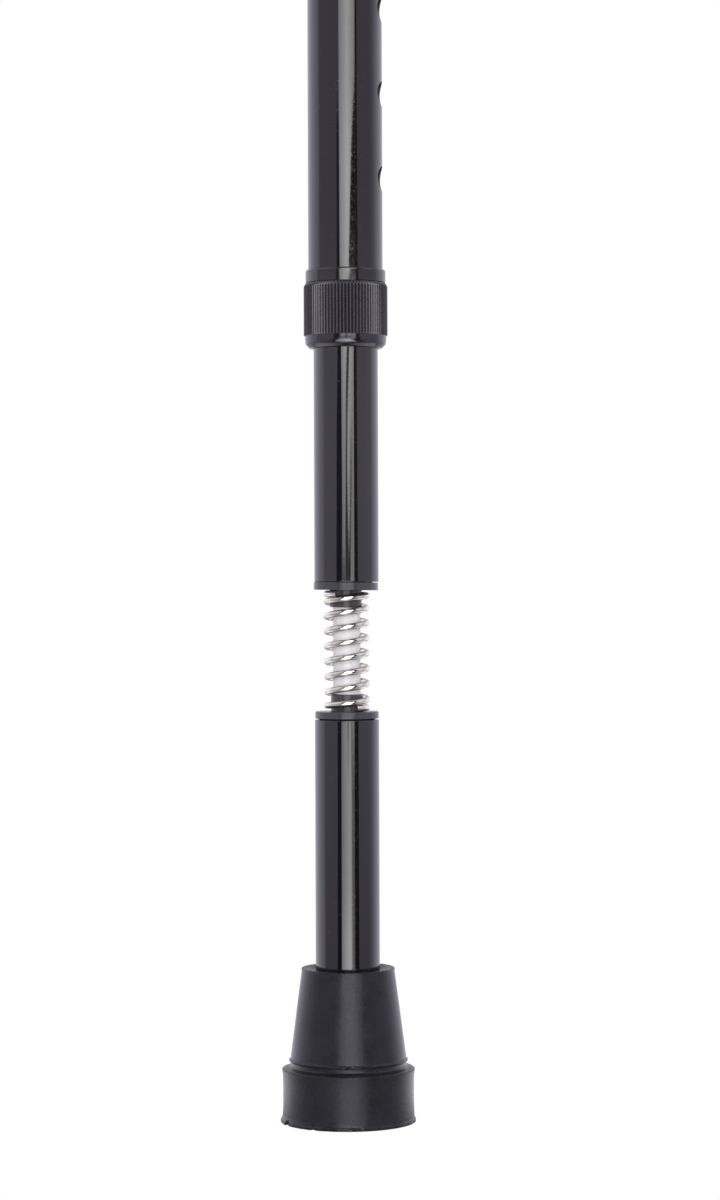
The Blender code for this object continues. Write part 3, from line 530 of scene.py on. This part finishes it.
paint = gloss_black_paint()
hole_wall = punched_edge()
cut_end = sheared_wire()
nut_plastic = moulded_black(
    "nut_plastic", (0.0098, 0.0082, 0.0108), 0.05, 2600, 0.000003, ior=1.72, tint=(1.0, 0.94, 1.08, 1)
)
ring_plastic = moulded_black("ring_plastic", (0.0066, 0.0060, 0.0072), 0.04, 2200, 0.000003, ior=1.8)
cap_plastic = moulded_black("cap_plastic", (0.0520, 0.0505, 0.0570), 0.10, 2400, 0.00002)
grip_plastic = moulded_black("grip_plastic", (0.0120, 0.0118, 0.0132), 0.34, 1300, 0.00003, seam=True)
rubber = foot_rubber()
wire = spring_wire()
nylon = white_nylon()
zinc = zinc_plate()


# ---------------------------------------------------------------- pieces


def tube_corners(bottom, top, outer_r, bore_r):
    """Half section of a tube with lightly rounded ends."""
    return [(outer_r, top, 0.25), (outer_r, bottom, 0.25), (bore_r, bottom, 0.15), (bore_r, top, 0.15)]


def make_plain_tube(name, node, body):
    """Inner or lower tube."""
    bottom, top = span(node)
    tube = turned(name, tube_corners(bottom, top, LEG_R, LEG_BORE_R))
    weigh_normals(tube)
    return wear(tube, body, "black_tube", paint, node)


def hole_heights():
    """Heights of the seven adjustment holes: the button stands in the fifth."""
    low, high = span("snap_button")
    return [(low + high) / 2 + HOLE_PITCH * i for i in range(-4, 3)]


def from_hole(place, heights):
    """Distance of a place from the line through the middle of its nearest side hole."""
    rise = min((place[2] - height for height in heights), key=abs)
    return math.hypot(place @ ACROSS, rise)


def punch(tube, height):
    """Punch one round side hole."""
    centre = FACING * OUTER_R + np.array([0, 0, height])
    cut(tube, drill("side_hole", HOLE_R, depth=8, centre=centre, direction=FACING))


def flare_rim(tube, height):
    """Press the rim of a side hole in, so that it widens outwards, more to the sides than up and down."""
    wide_r = 6.1
    depth = 1.6
    inset = 0.7
    flatness = 0.64
    clear_selection()
    turn = Vector(FACING).to_track_quat("Z", "Y").to_euler()
    bpy.ops.mesh.primitive_cone_add(
        vertices=96, radius1=HOLE_R * MM, radius2=wide_r * MM, depth=depth * MM,
        location=Vector(FACING * (OUTER_R - inset)) * MM, rotation=turn
    )
    flare = take(seat(named("flare")))
    bpy.ops.transform.resize(value=(1, 1, flatness), center_override=(0, 0, 0))
    bpy.ops.transform.translate(value=(0, 0, height * MM))
    cut(tube, seat(flare))


def round_rim(tube, height):
    """Round the outer edge of a side hole a little."""
    skin_r = max(math.hypot(v.co.x, v.co.y) for v in tube.data.vertices) / MM - 0.05

    def on_rim(place):
        on_circle = abs(from_hole(place, [height]) - HOLE_R) < 0.02
        return on_circle and place @ FACING > 0 and math.hypot(place[0], place[1]) > skin_r

    pick(tube, "EDGE", lambda a, b: on_rim(a) and on_rim(b))
    bpy.ops.mesh.bevel(offset=0.28 * MM, segments=3, affect="EDGES", clamp_overlap=True)
    leave_edit()


def darken_hole_walls(tube, heights):
    """Give the walls of the side holes their own look."""
    face_look(tube, hole_wall, lambda place: place[0] > 0 and from_hole(place, heights) < HOLE_R + 0.02)


def make_outer_tube():
    """Outer tube with its row of holes and the hole for the handle's pin."""
    bottom, top = span("outer_tube")
    tube = turned("black_outer_tube", tube_corners(bottom, top, OUTER_R, OUTER_BORE_R))
    for height in hole_heights():
        punch(tube, height)
        flare_rim(tube, height)
    pin_r = 1.8
    pin_height = sum(span("handle_pin")) / 2
    cut(tube, drill("pin_hole", pin_r, depth=40, centre=(0, 0, pin_height), direction=(0, 1, 0)))
    shade(tube)
    weigh_normals(tube)
    wear(tube, "upper_shaft", "black_tube", paint, "outer_tube")
    darken_hole_walls(tube, hole_heights())


def make_inner_tube():
    """Inner tube with its button hole."""
    tube = make_plain_tube("black_inner_tube", "inner_tube", "inner_shaft")
    button_height = hole_heights()[4]
    punch(tube, button_height)
    round_rim(tube, button_height)
    shade(tube)
    weigh_normals(tube)
    darken_hole_walls(tube, [button_height])


def make_stop_ring():
    """Smooth ring above the nut."""
    bottom, top = span("stop_ring")
    below_solid = 0.15
    top -= below_solid
    ring_r = 11.83
    bore_r = OUTER_R + 0.02
    corners = [
        (ring_r, top, 0.65),
        (ring_r, bottom, 0.08),
        (11.3, bottom, 0.05),
        (bore_r, bottom + 0.5, 0.0),
        (bore_r, top, 0.05),
    ]
    ring = turned("smooth_stop_ring", corners)
    weigh_normals(ring)
    wear(ring, "upper_shaft", "black_plastic", ring_plastic, "stop_ring")


def make_lock_nut():
    """Ribbed nut: a plain turned body whose skin is drawn out into ribs, over a smooth rounded foot."""
    bottom, top = span("lock_nut")
    above_solid = 0.27
    top += above_solid
    ribs = 76
    per_rib = 8
    rib_height = 0.45
    rise_of_step = (0.0, 0.36, 0.64, 0.87, 1.0, 0.87, 0.64, 0.36)
    rib_foot = bottom + 3.7
    root_r = 11.95
    bore_r = 11.1
    throat_r = 9.80
    # (depth under the top, radius, share of a rib's full height)
    shoulder = (
        (0.0, 11.45, 0.0),
        (0.12, 11.75, 0.06),
        (0.33, 11.86, 0.22),
        (0.62, 11.92, 0.50),
        (0.95, root_r, 0.84),
        (1.3, root_r, 1.0),
    )
    # (height, radius, share of a rib's full height)
    levels = [(top - depth, radius, share) for depth, radius, share in shoulder]
    levels += [(rib_foot + 0.35, root_r, 1.0), (rib_foot + 0.10, root_r, 0.93), (rib_foot, 11.91, 0.75)]
    # (radius, height over the nut's lower end)
    below_ribs = (
        (12.03, 2.90),
        (12.01, 2.15),
        (11.98, 1.80),
        (11.93, 1.52),
        (11.86, 1.29),
        (11.77, 1.09),
        (11.64, 0.91),
        (11.47, 0.75),
        (11.02, 0.32),
        (10.72, 0.04),
        (10.60, 0.0),
        (9.90, 0.0),
        (throat_r, 0.25),
        (throat_r, 2.6),
        (10.6, 2.7),
        (bore_r, 8.0),
    )
    corners = [(bore_r, top, 0.0)] + [(radius, level, 0.0) for level, radius, _ in levels]
    corners += [(12.04, rib_foot - 0.06, 0.0)]
    corners += [(radius, bottom + height, 0.0) for radius, height in below_ribs]
    nut = turned("ribbed_lock_nut", corners, ribs * per_rib)
    for level, radius, share in levels:
        for rise in sorted(set(rise_of_step) - {0.0}):
            def on_rib(v, level=level, radius=radius, rise=rise):
                step = round(math.degrees(math.atan2(v[1], v[0])) / 360 * ribs * per_rib) % per_rib
                out = abs(math.hypot(v[0], v[1]) - radius) < 0.01
                return out and abs(v[2] - level) < 0.005 and rise_of_step[step] == rise

            pick(nut, "VERT", on_rib)
            grow = 1 + share * rise * rib_height / radius
            bpy.ops.transform.resize(value=(grow, grow, 1), center_override=(0, 0, 0))
            leave_edit()
    shade(nut, angle=62)
    weigh_normals(nut)
    wear(nut, "nut", "black_plastic", nut_plastic, "lock_nut")


def make_spring_cap(name, node, body, seat_side):
    """Spring cap. The seat side is +1 where the boss points up and -1 where it points down."""
    bottom, top = span(node)
    boss_end = top if seat_side > 0 else bottom
    spigot_end = bottom if seat_side > 0 else top
    flange_r, flange_end, neck_r = (9.42, 7.12, 9.0) if seat_side > 0 else (9.52, 7.38, 8.0)
    spigot_r = 7.95
    bore_r = ROD_R + 0.17

    def at(depth):
        return boss_end - seat_side * depth

    corners = [
        (bore_r, at(0), 0.15),
        (BOSS_R, at(0), 0.75),
        (BOSS_R, at(BOSS_HEIGHT), 0.2),
        (flange_r, at(BOSS_HEIGHT), 0.25),
        (flange_r, at(flange_end), 0.15),
        (neck_r, at(flange_end + 0.02), 0.0),
        (spigot_r, at(7.48), 0.0),
        (spigot_r, spigot_end, 0.3),
    ]
    if seat_side > 0:
        floor = spigot_end + 3.0
        corners += [(SCREW_HOLE_R, spigot_end, 0.1), (SCREW_HOLE_R, floor, 0.1), (bore_r, floor, 0.1)]
    else:
        corners += [(bore_r, spigot_end, 0.1)]
    cap = turned(name, corners)
    weigh_normals(cap)
    return wear(cap, body, "cap_plastic", cap_plastic, node)


def tip_upper_cap(cap):
    """The upper cap sits a little crooked and aside in its tube: its right side hangs lower."""
    aside = -0.2
    tilt = math.radians(0.7)
    seat_height = span("upper_spring_cap")[0] + BOSS_HEIGHT
    take(cap)
    cap.matrix_world = (
        Matrix.Translation((aside * MM, 0, seat_height * MM))
        @ Matrix.Rotation(tilt, 4, "Y")
        @ Matrix.Translation((0, 0, -seat_height * MM))
        @ cap.matrix_world
    )
    seat(cap)


def make_guide_rod():
    """White rod, with the two flats on its upper part and a screw hole in each end."""
    bottom, top = span("guide_rod")
    screw_depth = 14.3
    cutter_x = 7.3
    cutter_depth = 13.8
    cutter_size = (8 * MM, 16 * MM, 29 * MM)
    corners = [
        (SCREW_HOLE_R, top, 0.2),
        (ROD_R, top, 0.4),
        (ROD_R, bottom, 0.4),
        (SCREW_HOLE_R, bottom, 0.2),
        (SCREW_HOLE_R, bottom + screw_depth, 0.0),
        (0, bottom + screw_depth, 0.0),
        (0, top - screw_depth, 0.0),
        (SCREW_HOLE_R, top - screw_depth, 0.0),
    ]
    rod = turned("white_guide_rod", corners, steps=96)
    for side in (-1, 1):
        clear_selection()
        middle = (side * cutter_x * MM, 0, (top - cutter_depth) * MM)
        bpy.ops.mesh.primitive_cube_add(size=1, location=middle, scale=cutter_size)
        cut(rod, seat(named("rod_flat")))
    shade(rod)
    wear(rod, "lower_leg", "white_nylon", nylon, "guide_rod")


def coil_path(seat_low, seat_high):
    """Points along the wire's centre: closed ends, and seven open turns that lean a little."""
    seats_apart = 35.9
    # (turns, rise of the wire's centre over the lower seat at that distance)
    low_end = ((0.0, 1.00), (0.17, 1.08), (0.50, 1.42), (0.92, 2.40), (1.17, 3.45), (1.50, 5.00), (1.92, 6.90))
    open_part = ((2.50, 9.55), (6.42, 27.10))
    high_end = (
        (6.92, 29.30), (7.17, 30.40), (7.55, 32.05), (7.92, 33.55), (8.20, 34.35), (8.50, 34.75), (8.84, 34.90)
    )
    turns, rises = zip(*low_end, *open_part, *high_end)
    points = 353
    share = (seat_high - seat_low) / seats_apart
    smoothing = np.hanning(19)
    closed = 2.5
    start = math.radians(-62)

    fine = np.linspace(0, turns[-1], points)
    level = np.interp(fine, turns, rises) * share
    padded = np.pad(level, len(smoothing) // 2, mode="reflect", reflect_type="odd")
    level = np.convolve(padded, smoothing / smoothing.sum(), mode="valid")
    angle = start + 2 * math.pi * fine
    free = np.clip(np.minimum(level - closed, level[-1] - closed - level) / closed, 0, 1)
    lean = math.radians(1.2) * free
    x = COIL_R * np.cos(angle)
    y = COIL_R * np.sin(angle)
    middle = level[-1] / 2
    return np.stack([x - 0.6 * lean * (level - middle), y, seat_low + level + lean * x + 0.1 * free], axis=1)


def make_coil_spring():
    """The open coil spring: one round wire with slanting cut ends."""
    seat_low = span("lower_spring_cap")[1] - BOSS_HEIGHT
    seat_high = span("upper_spring_cap")[0] + BOSS_HEIGHT
    path = coil_path(seat_low, seat_high) * MM
    curve = bpy.data.curves.new("bright_coil_spring", "CURVE")
    curve.dimensions = "3D"
    curve.bevel_depth = WIRE_R * MM
    curve.bevel_resolution = 8
    curve.use_fill_caps = True
    curve.resolution_u = 1
    spline = curve.splines.new("POLY")
    spline.points.add(len(path) - 1)
    for point, place in zip(spline.points, path):
        point.co = (*place, 1)
    spring = bpy.data.objects.new("bright_coil_spring", curve)
    bpy.context.scene.collection.objects.link(spring)
    take(spring)
    bpy.ops.object.convert(target="MESH")
    spring = bpy.context.object
    pick(spring, "VERT", lambda v: True)
    bpy.ops.mesh.remove_doubles(threshold=0.000001)
    bpy.ops.mesh.normals_make_consistent(inside=False)
    leave_edit()
    shade(spring, angle=45)
    wear(spring, "inner_shaft", "bright_steel", wire, "coil_spring")
    for end, slant in ((path[0], -32), (path[-1], 30)):
        def on_cut(place, end=end):
            return np.linalg.norm(place - end / MM) < 0.3

        face_look(spring, cut_end, on_cut)
        pick(spring, "FACE", on_cut)
        bpy.ops.transform.rotate(value=math.radians(slant), orient_axis="Z", center_override=tuple(end))
        leave_edit()
    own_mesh(spring)


def make_ferrule():
    """Rubber foot: cone, undercut groove, stepped base with a flared lip, and tread grooves underneath."""
    top = span("ferrule")[1]
    bore_r = 9.60
    floor = 4.6
    tread = -0.3
    groove = 1.0
    corners = [
        (bore_r, floor, 0.3),
        (bore_r, top - 2.2, 0.0),
        (9.75, top - 1.25, 0.1),
        (12.2, top - 0.05, 0.5),
        (13.60, top + 0.05, 0.12),
        (13.84, top - 0.15, 0.10),
        (13.72, top - 0.7, 0.0),
        (15.42, 31.5, 0.0),
        (17.14, 18.45, 0.3),
        (17.56, 17.95, 0.10),
        (17.44, 17.55, 0.10),
        (17.12, 17.40, 0.1),
        (17.07, 16.35, 0.3),
        (17.45, 15.95, 0.2),
        (19.20, 15.50, 0.25),
        (19.64, 15.20, 0.12),
        (19.60, 14.75, 0.2),
        (19.36, 12.6, 1.5),
        (19.36, 4.6, 1.5),
        (19.50, 1.6, 0.4),
        (19.64, 0.80, 0.15),
        (20.00, 0.30, 0.05),
        (20.02, tread, 0.04),
        (19.2, tread, 0.0),
        (15.75, tread, 0.15),
        (15.75, groove, 0.15),
        (14.45, groove, 0.15),
        (14.45, tread, 0.15),
        (10.75, tread, 0.15),
        (10.75, groove, 0.15),
        (9.45, groove, 0.15),
        (9.45, tread, 0.15),
        (0, tread, 0.0),
        (0, floor, 0.0),
    ]
    foot = turned("rubber_ferrule", corners, steps=240)
    weigh_normals(foot)
    roughen_lips(foot)
    pick(foot, "VERT", lambda v: math.hypot(v[0], v[1]) > 13.0 and v[2] > 1.5)
    bpy.ops.transform.translate(value=(0.08 * MM, 0, 0))
    leave_edit()
    wear(foot, "lower_leg", "rubber", rubber, "ferrule")


def roughen_lips(foot):
    """Make the thin mould flash of the lips uneven, and tear the bottom lip where the photograph shows it."""
    # (lowest and highest point, least radius, reach, seed)
    lips = (
        (17.5, 18.1, 17.40, 0.06, 1),
        (14.9, 15.5, 19.4, 0.06, 2),
        (0.05, 0.95, 19.6, 0.04, 3),
        (44.6, 45.1, 13.45, 0.03, 4),
    )
    for low, high, radius, reach, seed in lips:
        pick(foot, "VERT", lambda v: low < v[2] < high and math.hypot(v[0], v[1]) > radius)
        bpy.ops.transform.vertex_random(offset=reach * MM, uniform=1.0, normal=0.0, seed=seed)
        leave_edit()
    # (azimuth, half width in degrees, pull outwards, lift)
    tears = ((-158, 2.2, 1.012, -0.04), (-154, 2.2, 0.978, 0.45), (-121, 1.4, 0.986, 0.3))
    for azimuth, half_width, pull, lift in tears:
        def near(v, azimuth=azimuth, half_width=half_width):
            angle = math.degrees(math.atan2(v[1], v[0]))
            return abs(angle - azimuth) < half_width and math.hypot(v[0], v[1]) > 19.3 and v[2] < 1.0

        pick(foot, "VERT", near)
        bpy.ops.transform.resize(value=(pull, pull, 1), center_override=(0, 0, 0))
        bpy.ops.transform.translate(value=(0, 0, lift * MM))
        leave_edit()


def make_snap_button():
    """Domed button with its head inside the tube."""
    low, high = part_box("snap_button")
    height = (low.z + high.z) / 2 / MM
    tip = OUTER_R + 2.0
    seat_x = 6.44
    stem_r = 3.5
    head_r = 4.75
    rivet_hole_r = 1.8
    corners = [
        (0, tip, 0.0),
        (1.3, tip - 0.24, 0.0),
        (2.4, tip - 0.85, 0.0),
        (3.1, tip - 1.45, 0.0),
        (stem_r, tip - 2.2, 0.5),
        (stem_r, seat_x, 0.15),
        (head_r, seat_x, 0.2),
        (head_r, seat_x - 1, 0.2),
        (rivet_hole_r, seat_x - 1, 0.1),
        (rivet_hole_r, seat_x + 2.3, 0.0),
        (0, seat_x + 2.3, 0.0),
    ]
    button = turned("domed_snap_button", corners, steps=96)
    shade(button, angle=40)
    turn = Matrix.Rotation(HOLE_AZIMUTH, 4, "Z") @ Matrix.Rotation(math.pi / 2, 4, "Y")
    button.matrix_world = Matrix.Translation((0, 0, height * MM)) @ turn
    seat(button)
    wear(button, "button", "zinc_steel", zinc, "snap_button")


def make_button_strip():
    """Bent strip: a copy of its solid, with lightly rolled edges."""
    strip = copied("bent_button_strip", "button_spring")
    edge = strip.modifiers.new("Rolled edges", "BEVEL")
    edge.width = 0.12 * MM
    edge.segments = 2
    edge.angle_limit = math.radians(50)
    apply_modifiers(strip)
    shade(strip, angle=40)
    strip.data.materials.clear()
    strip.data.materials.append(zinc)
    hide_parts("button_spring")
    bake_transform(strip)


def make_handle_collar():
    """Ring under the handle's neck."""
    bottom, top = span("handle_collar")
    collar_r = 12.6
    bore_r = 11.3
    corners = [(collar_r, top, 0.3), (collar_r, bottom, 0.7), (bore_r, bottom, 0.3), (bore_r, top, 0.1)]
    collar = turned("grip_collar", corners)
    wear(collar, "upper_shaft", "black_plastic", ring_plastic, "handle_collar")


def make_handle_grip():
    """Moulded grip: a smoothed copy of its solid, with neck and grip blended."""
    grip = copied("moulded_grip", "handle_grip")
    remesh = grip.modifiers.new("Even skin", "REMESH")
    remesh.mode = "VOXEL"
    remesh.voxel_size = 0.9 * MM
    smooth = grip.modifiers.new("Blend", "SMOOTH")
    smooth.factor = 0.5
    smooth.iterations = 14
    fine = grip.modifiers.new("Fine", "SUBSURF")
    fine.levels = 1
    fine.render_levels = 1
    apply_modifiers(grip)
    bpy.ops.object.shade_smooth()
    wear(grip, "upper_shaft", "black_plastic", grip_plastic, "handle_grip")


def dress_kept_solids():
    """Give every solid that stays its own finish."""
    finishes = {
        zinc: ("button_rivet", "rod_washer", "rod_top_screw", "rod_foot_screw", "ferrule_disc", "handle_pin"),
        cap_plastic: ("inner_tube_glide",),
        rubber: ("rebound_bumper",),
        nylon: ("clamp_ring",),
    }
    for look, nodes in finishes.items():
        for node in nodes:
            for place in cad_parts[node].material_slots:
                place.material = look


# ---------------------------------------------------------------- studio


def room_tone(azimuth, slope):
    """Pale walls beside the camera, the room above and below them, and a brighter backdrop behind."""
    flat = abs(slope)
    behind = abs(azimuth).rise(86, 96)
    steep = flat.rise(0.185, 0.24)
    level = flat.fall(0.45, 0.90)
    walls = slope.along(
        (-0.3, 0.34), (-0.12, 0.37), (-0.05, 0.48), (0.03, 0.56), (0.07, 0.54), (0.11, 0.38),
        (0.20, 0.37), (0.3, 0.36)
    )
    overhead = azimuth.along(
        (-180, 0.30), (-130, 0.40), (-110, 0.78), (-62, 0.78), (-46, 0.46), (-5, 0.40), (10, 0.14),
        (48, 0.14), (66, 0.76), (110, 0.78), (130, 0.40), (180, 0.30)
    )
    overhead = overhead * (1 - 0.55 * slope.rise(-0.90, -0.78) * slope.fall(-0.42, -0.28))
    backdrop = azimuth.along(
        (-180, 0.60), (-164, 0.90), (-134, 1.16), (-115, 1.02), (-94, 0.80), (-86, 0.0), (86, 0.0),
        (94, 0.45), (104, 0.72), (120, 1.0), (142, 1.10), (164, 0.92), (180, 0.60)
    )
    backdrop = backdrop * (1 - 0.35 * slope.fall(-0.24, -0.14)) * (1 - 0.12 * slope.rise(0.19, 0.28)) * level
    return walls * (1 - steep) * (1 - behind) + overhead * steep * (1 - 0.9 * behind * level) + backdrop


def light_width(azimuth, slope):
    """1 between the left and the right edge of the soft light."""
    left = slope.along(
        (-1.1, -30.0), (-0.30, -30.0), (-0.16, -21.0), (-0.12, -20.5), (-0.05, -19.5), (0.0, -16.5),
        (0.013, -14.2), (0.03, -14.0), (0.05, -15.0), (0.07, -15.8), (0.108, -17.4), (0.15, -18.3),
        (0.18, -19.0), (0.4, -17.0), (1.1, -14.5)
    )
    right = slope.along(
        (-1.1, 38.0), (-0.7, 37.0), (-0.30, 22.0), (-0.16, 25.5), (-0.12, 26.0), (-0.05, 26.5),
        (0.0, 28.3), (0.07, 28.3), (0.108, 30.0), (0.18, 30.5), (0.5, 36.0), (1.1, 39.0)
    )
    return (azimuth - left).rise(-2.0, 2.0) * (right - azimuth).rise(-1.5, 1.5)


def black_flags(azimuth, slope):
    """1 on the two black flags, which reach from their outer edges to the middle."""
    left = slope.along(
        (-1.1, -45.0), (-0.3, -40.0), (-0.12, -36.0), (-0.05, -33.5), (0.005, -36.0), (0.025, -34.5),
        (0.05, -33.5), (0.063, -30.0), (0.108, -26.0), (0.18, -25.0), (0.5, -28.0), (1.1, -32.0)
    )
    right = slope.along(
        (-1.1, 50.0), (-0.3, 44.0), (-0.12, 42.0), (0.0, 42.0), (0.025, 41.0), (0.05, 40.0),
        (0.07, 39.3), (0.10, 38.0), (0.18, 37.0), (0.5, 46.0), (1.1, 54.0)
    )
    gap = slope.rise(0.143, 0.153) * slope.fall(0.25, 0.40)
    left_flag = (azimuth - left).rise(-1.5, 1.5) * azimuth.fall(-1, 1) * (1 - gap)
    right_flag = (right - azimuth).rise(-1.5, 1.5) * azimuth.rise(-1, 1)
    return abs(slope).fall(3, 5) * (left_flag + right_flag)


def light_strength(azimuth, slope):
    """Strength of the soft light, with a dark streak and a second, softer one in it."""
    strength = slope.along(
        (-1.8, 3.5), (-0.8, 4.8), (-0.3, 5.0), (-0.17, 5.0), (-0.145, 4.7), (-0.125, 3.9),
        (-0.113, 3.8), (-0.10, 3.2), (-0.085, 2.95), (-0.049, 3.06), (0.0, 2.45), (0.013, 2.45),
        (0.025, 2.7), (0.05, 3.2), (0.07, 3.9), (0.108, 4.1), (0.135, 4.2), (0.16, 3.5), (0.22, 3.4),
        (0.35, 4.0), (1.0, 4.0), (1.8, 3.0)
    )
    shade_left = azimuth.fall(-2, 0) * slope.fall(0.005, 0.009) * slope.rise(-0.04, -0.03)
    shade_right = azimuth.rise(14.5, 18) * slope.fall(-0.065, -0.040) * slope.rise(-0.3, -0.2)
    strength = strength * (1 - 0.0187 * abs(azimuth - 7))
    strength = strength * (1 - 0.60 * shade_left) * (1 - 0.62 * shade_right)

    left = slope.along(
        (-0.06, 2.5), (-0.03, 0.0), (0.005, -2.5), (0.013, -3.5), (0.025, -2.0), (0.05, -1.5),
        (0.063, 0.3), (0.07, 3.0), (0.108, 12.6), (0.116, 14.3), (0.125, 16.3), (0.135, 18.5),
        (0.141, 21.5), (0.15, 25.5), (0.16, 31.0)
    )
    right = slope.along(
        (-0.06, 6.0), (-0.03, 8.0), (0.005, 15.0), (0.013, 7.5), (0.025, 5.0), (0.038, 4.0),
        (0.05, 6.5), (0.063, 9.7), (0.07, 12.0), (0.085, 16.0), (0.095, 38.0), (0.16, 38.0)
    )
    depth = slope.along(
        (-0.075, 0.0), (-0.056, 0.3), (-0.049, 0.5), (-0.03, 0.8), (0.005, 0.9), (0.025, 0.9),
        (0.038, 0.82), (0.05, 0.74), (0.063, 0.96), (0.085, 0.995), (0.152, 0.995), (0.16, 0.0)
    )
    streak = (azimuth - left).rise(-1.3, 1.3) * (right - azimuth).rise(-1.3, 1.3) * depth

    middle = slope.along(
        (-0.06, 18.0), (-0.03, 16.0), (0.0, 12.0), (0.013, 13.8), (0.025, 16.0), (0.038, 18.0), (0.055, 20.0)
    )
    depth = slope.along(
        (-0.07, 0.0), (-0.049, 0.4), (-0.02, 0.4), (0.005, 0.85), (0.025, 0.75), (0.038, 0.6), (0.055, 0.0)
    )
    second = abs(azimuth - middle).fall(1.6, 4.2) * depth
    return strength * (1 - streak) * (1 - second)


def light_world():
    """White for the camera, and for all other rays a pale room with a tall soft light between black flags.

    Directions are an azimuth in degrees, as in azimuth_of, and a slope, rise over run.
    """
    world = bpy.data.worlds.new("studio")
    bpy.context.scene.world = world
    world.use_nodes = True
    shader = Shader(world.node_tree)
    x, y, z = shader.split(shader.node("ShaderNodeTexCoord", output="Generated"))
    azimuth = azimuth_of(x, y)
    slope = z / (x * x + y * y).math("SQRT")

    between = light_width(azimuth, slope)
    light = slope.rise(-1.0, -0.75) * slope.fall(0.85, 1.15) * between
    flags = black_flags(azimuth, slope) * (1 - between)
    room = room_tone(azimuth, slope) * (1 - 0.96 * flags)
    studio = room * (1 - light) + light * light_strength(azimuth, slope)

    tint = shader.mix(abs(azimuth).rise(86, 96), (1.05, 0.965, 1.20), (1.0, 0.985, 1.15))
    tint = shader.mix(abs(slope).rise(0.20, 0.32), tint, (1.03, 1.0, 0.985))
    tint = shader.mix(light, tint, (1.0, 1.0, 1.0))
    unseen = shader.node("ShaderNodeBackground", {}, {"Color": tint, "Strength": studio})
    seen = shader.node("ShaderNodeBackground", {}, {"Color": (1, 1, 1), "Strength": 1.0})
    to_camera = shader.node("ShaderNodeLightPath", output="Is Camera Ray")
    both = shader.node("ShaderNodeMixShader", {}, {0: to_camera, 1: unseen, 2: seen})
    shader.node("ShaderNodeOutputWorld", {}, {"Surface": both})


def lay_floor():
    """Round pale polished floor that lights and mirrors the stick. The camera sees through it."""
    clear_selection()
    bpy.ops.mesh.primitive_circle_add(vertices=128, radius=0.30, fill_type="NGON", location=(0, 0, -0.0004))
    floor = seat(named("floor"))
    material, shader = new_material("pale_floor")
    tone = shader.noise(shader.place(), 12, 3)
    x, y, _ = shader.split(shader.place())
    away = (x * x + y * y).math("SQRT")
    tone_round = azimuth_of(x, y).along(
        (-180, 0.60), (-135, 0.70), (-118, 0.90), (-100, 0.55), (-86, 0.22), (-58, 0.02), (-40, 0.08),
        (-26, 0.50), (-12, 0.66), (8, 0.66), (18, 0.36), (28, 0.05), (62, 0.06), (86, 0.22),
        (104, 0.55), (118, 0.90), (135, 0.70), (180, 0.60)
    )
    to_camera = shader.node("ShaderNodeLightPath", output="Is Camera Ray")
    to_gloss = shader.node("ShaderNodeLightPath", output="Is Glossy Ray")
    pale = shader.mix(tone, (0.29, 0.28, 0.29), (0.31, 0.30, 0.31))
    matt = shader.node("ShaderNodeBsdfDiffuse", {}, {"Color": pale})
    polish = shader.node("ShaderNodeBsdfGlossy", {}, {"Color": (1, 1, 1), "Roughness": 0.15})
    sheen = 0.12 + 0.88 * shader.node("ShaderNodeFresnel", {}, {"IOR": 1.6})
    ground = shader.node("ShaderNodeMixShader", {}, {0: sheen, 1: matt, 2: polish})
    shine = to_gloss * tone_round * away.rise(0.02, 0.065)
    glow = shader.node("ShaderNodeEmission", {}, {"Color": (1, 1, 1), "Strength": shine})
    lit = shader.node("ShaderNodeAddShader", {}, {0: ground, 1: glow})
    open_to = to_camera.math("MAXIMUM", away.fall(0.0165, 0.0166))
    clear = shader.node("ShaderNodeBsdfTransparent")
    both = shader.node("ShaderNodeMixShader", {}, {0: open_to, 1: lit, 2: clear})
    shader.node("ShaderNodeOutputMaterial", {}, {"Surface": both})
    floor.data.materials.append(material)


def set_camera():
    """Nearly level camera at the height of the spring, as far off as the photograph's perspective shows."""
    aside = 0.00397
    distance = 0.945
    height = 0.15975
    frame_px = 1200
    focal_px = 3194
    horizon_px = 20
    data = bpy.data.cameras.new("photo_camera")
    data.sensor_fit = "VERTICAL"
    data.sensor_height = 36.0
    data.lens = data.sensor_height * focal_px / frame_px
    data.clip_start = 0.01
    data.clip_end = 20
    camera = bpy.data.objects.new("photo_camera", data)
    bpy.context.scene.collection.objects.link(camera)
    pitch = math.atan(horizon_px / focal_px)
    lean = math.radians(0.20)
    camera.matrix_world = (
        Matrix.Translation((aside, -distance, height))
        @ Matrix.Rotation(math.pi / 2 - pitch, 4, "X")
        @ Matrix.Rotation(-lean, 4, "Z")
    )
    bpy.context.scene.camera = camera


make_outer_tube()
make_inner_tube()
make_plain_tube("black_lower_tube", "lower_tube", "lower_leg")
make_stop_ring()
make_lock_nut()
tip_upper_cap(make_spring_cap("upper_cap", "upper_spring_cap", "inner_shaft", -1))
make_spring_cap("lower_cap", "lower_spring_cap", "lower_leg", 1)
make_guide_rod()
make_coil_spring()
make_ferrule()
make_snap_button()
make_button_strip()
make_handle_collar()
make_handle_grip()
dress_kept_solids()
light_world()
lay_floor()
set_camera()

scene = bpy.context.scene
scene.view_settings.view_transform = "Standard"
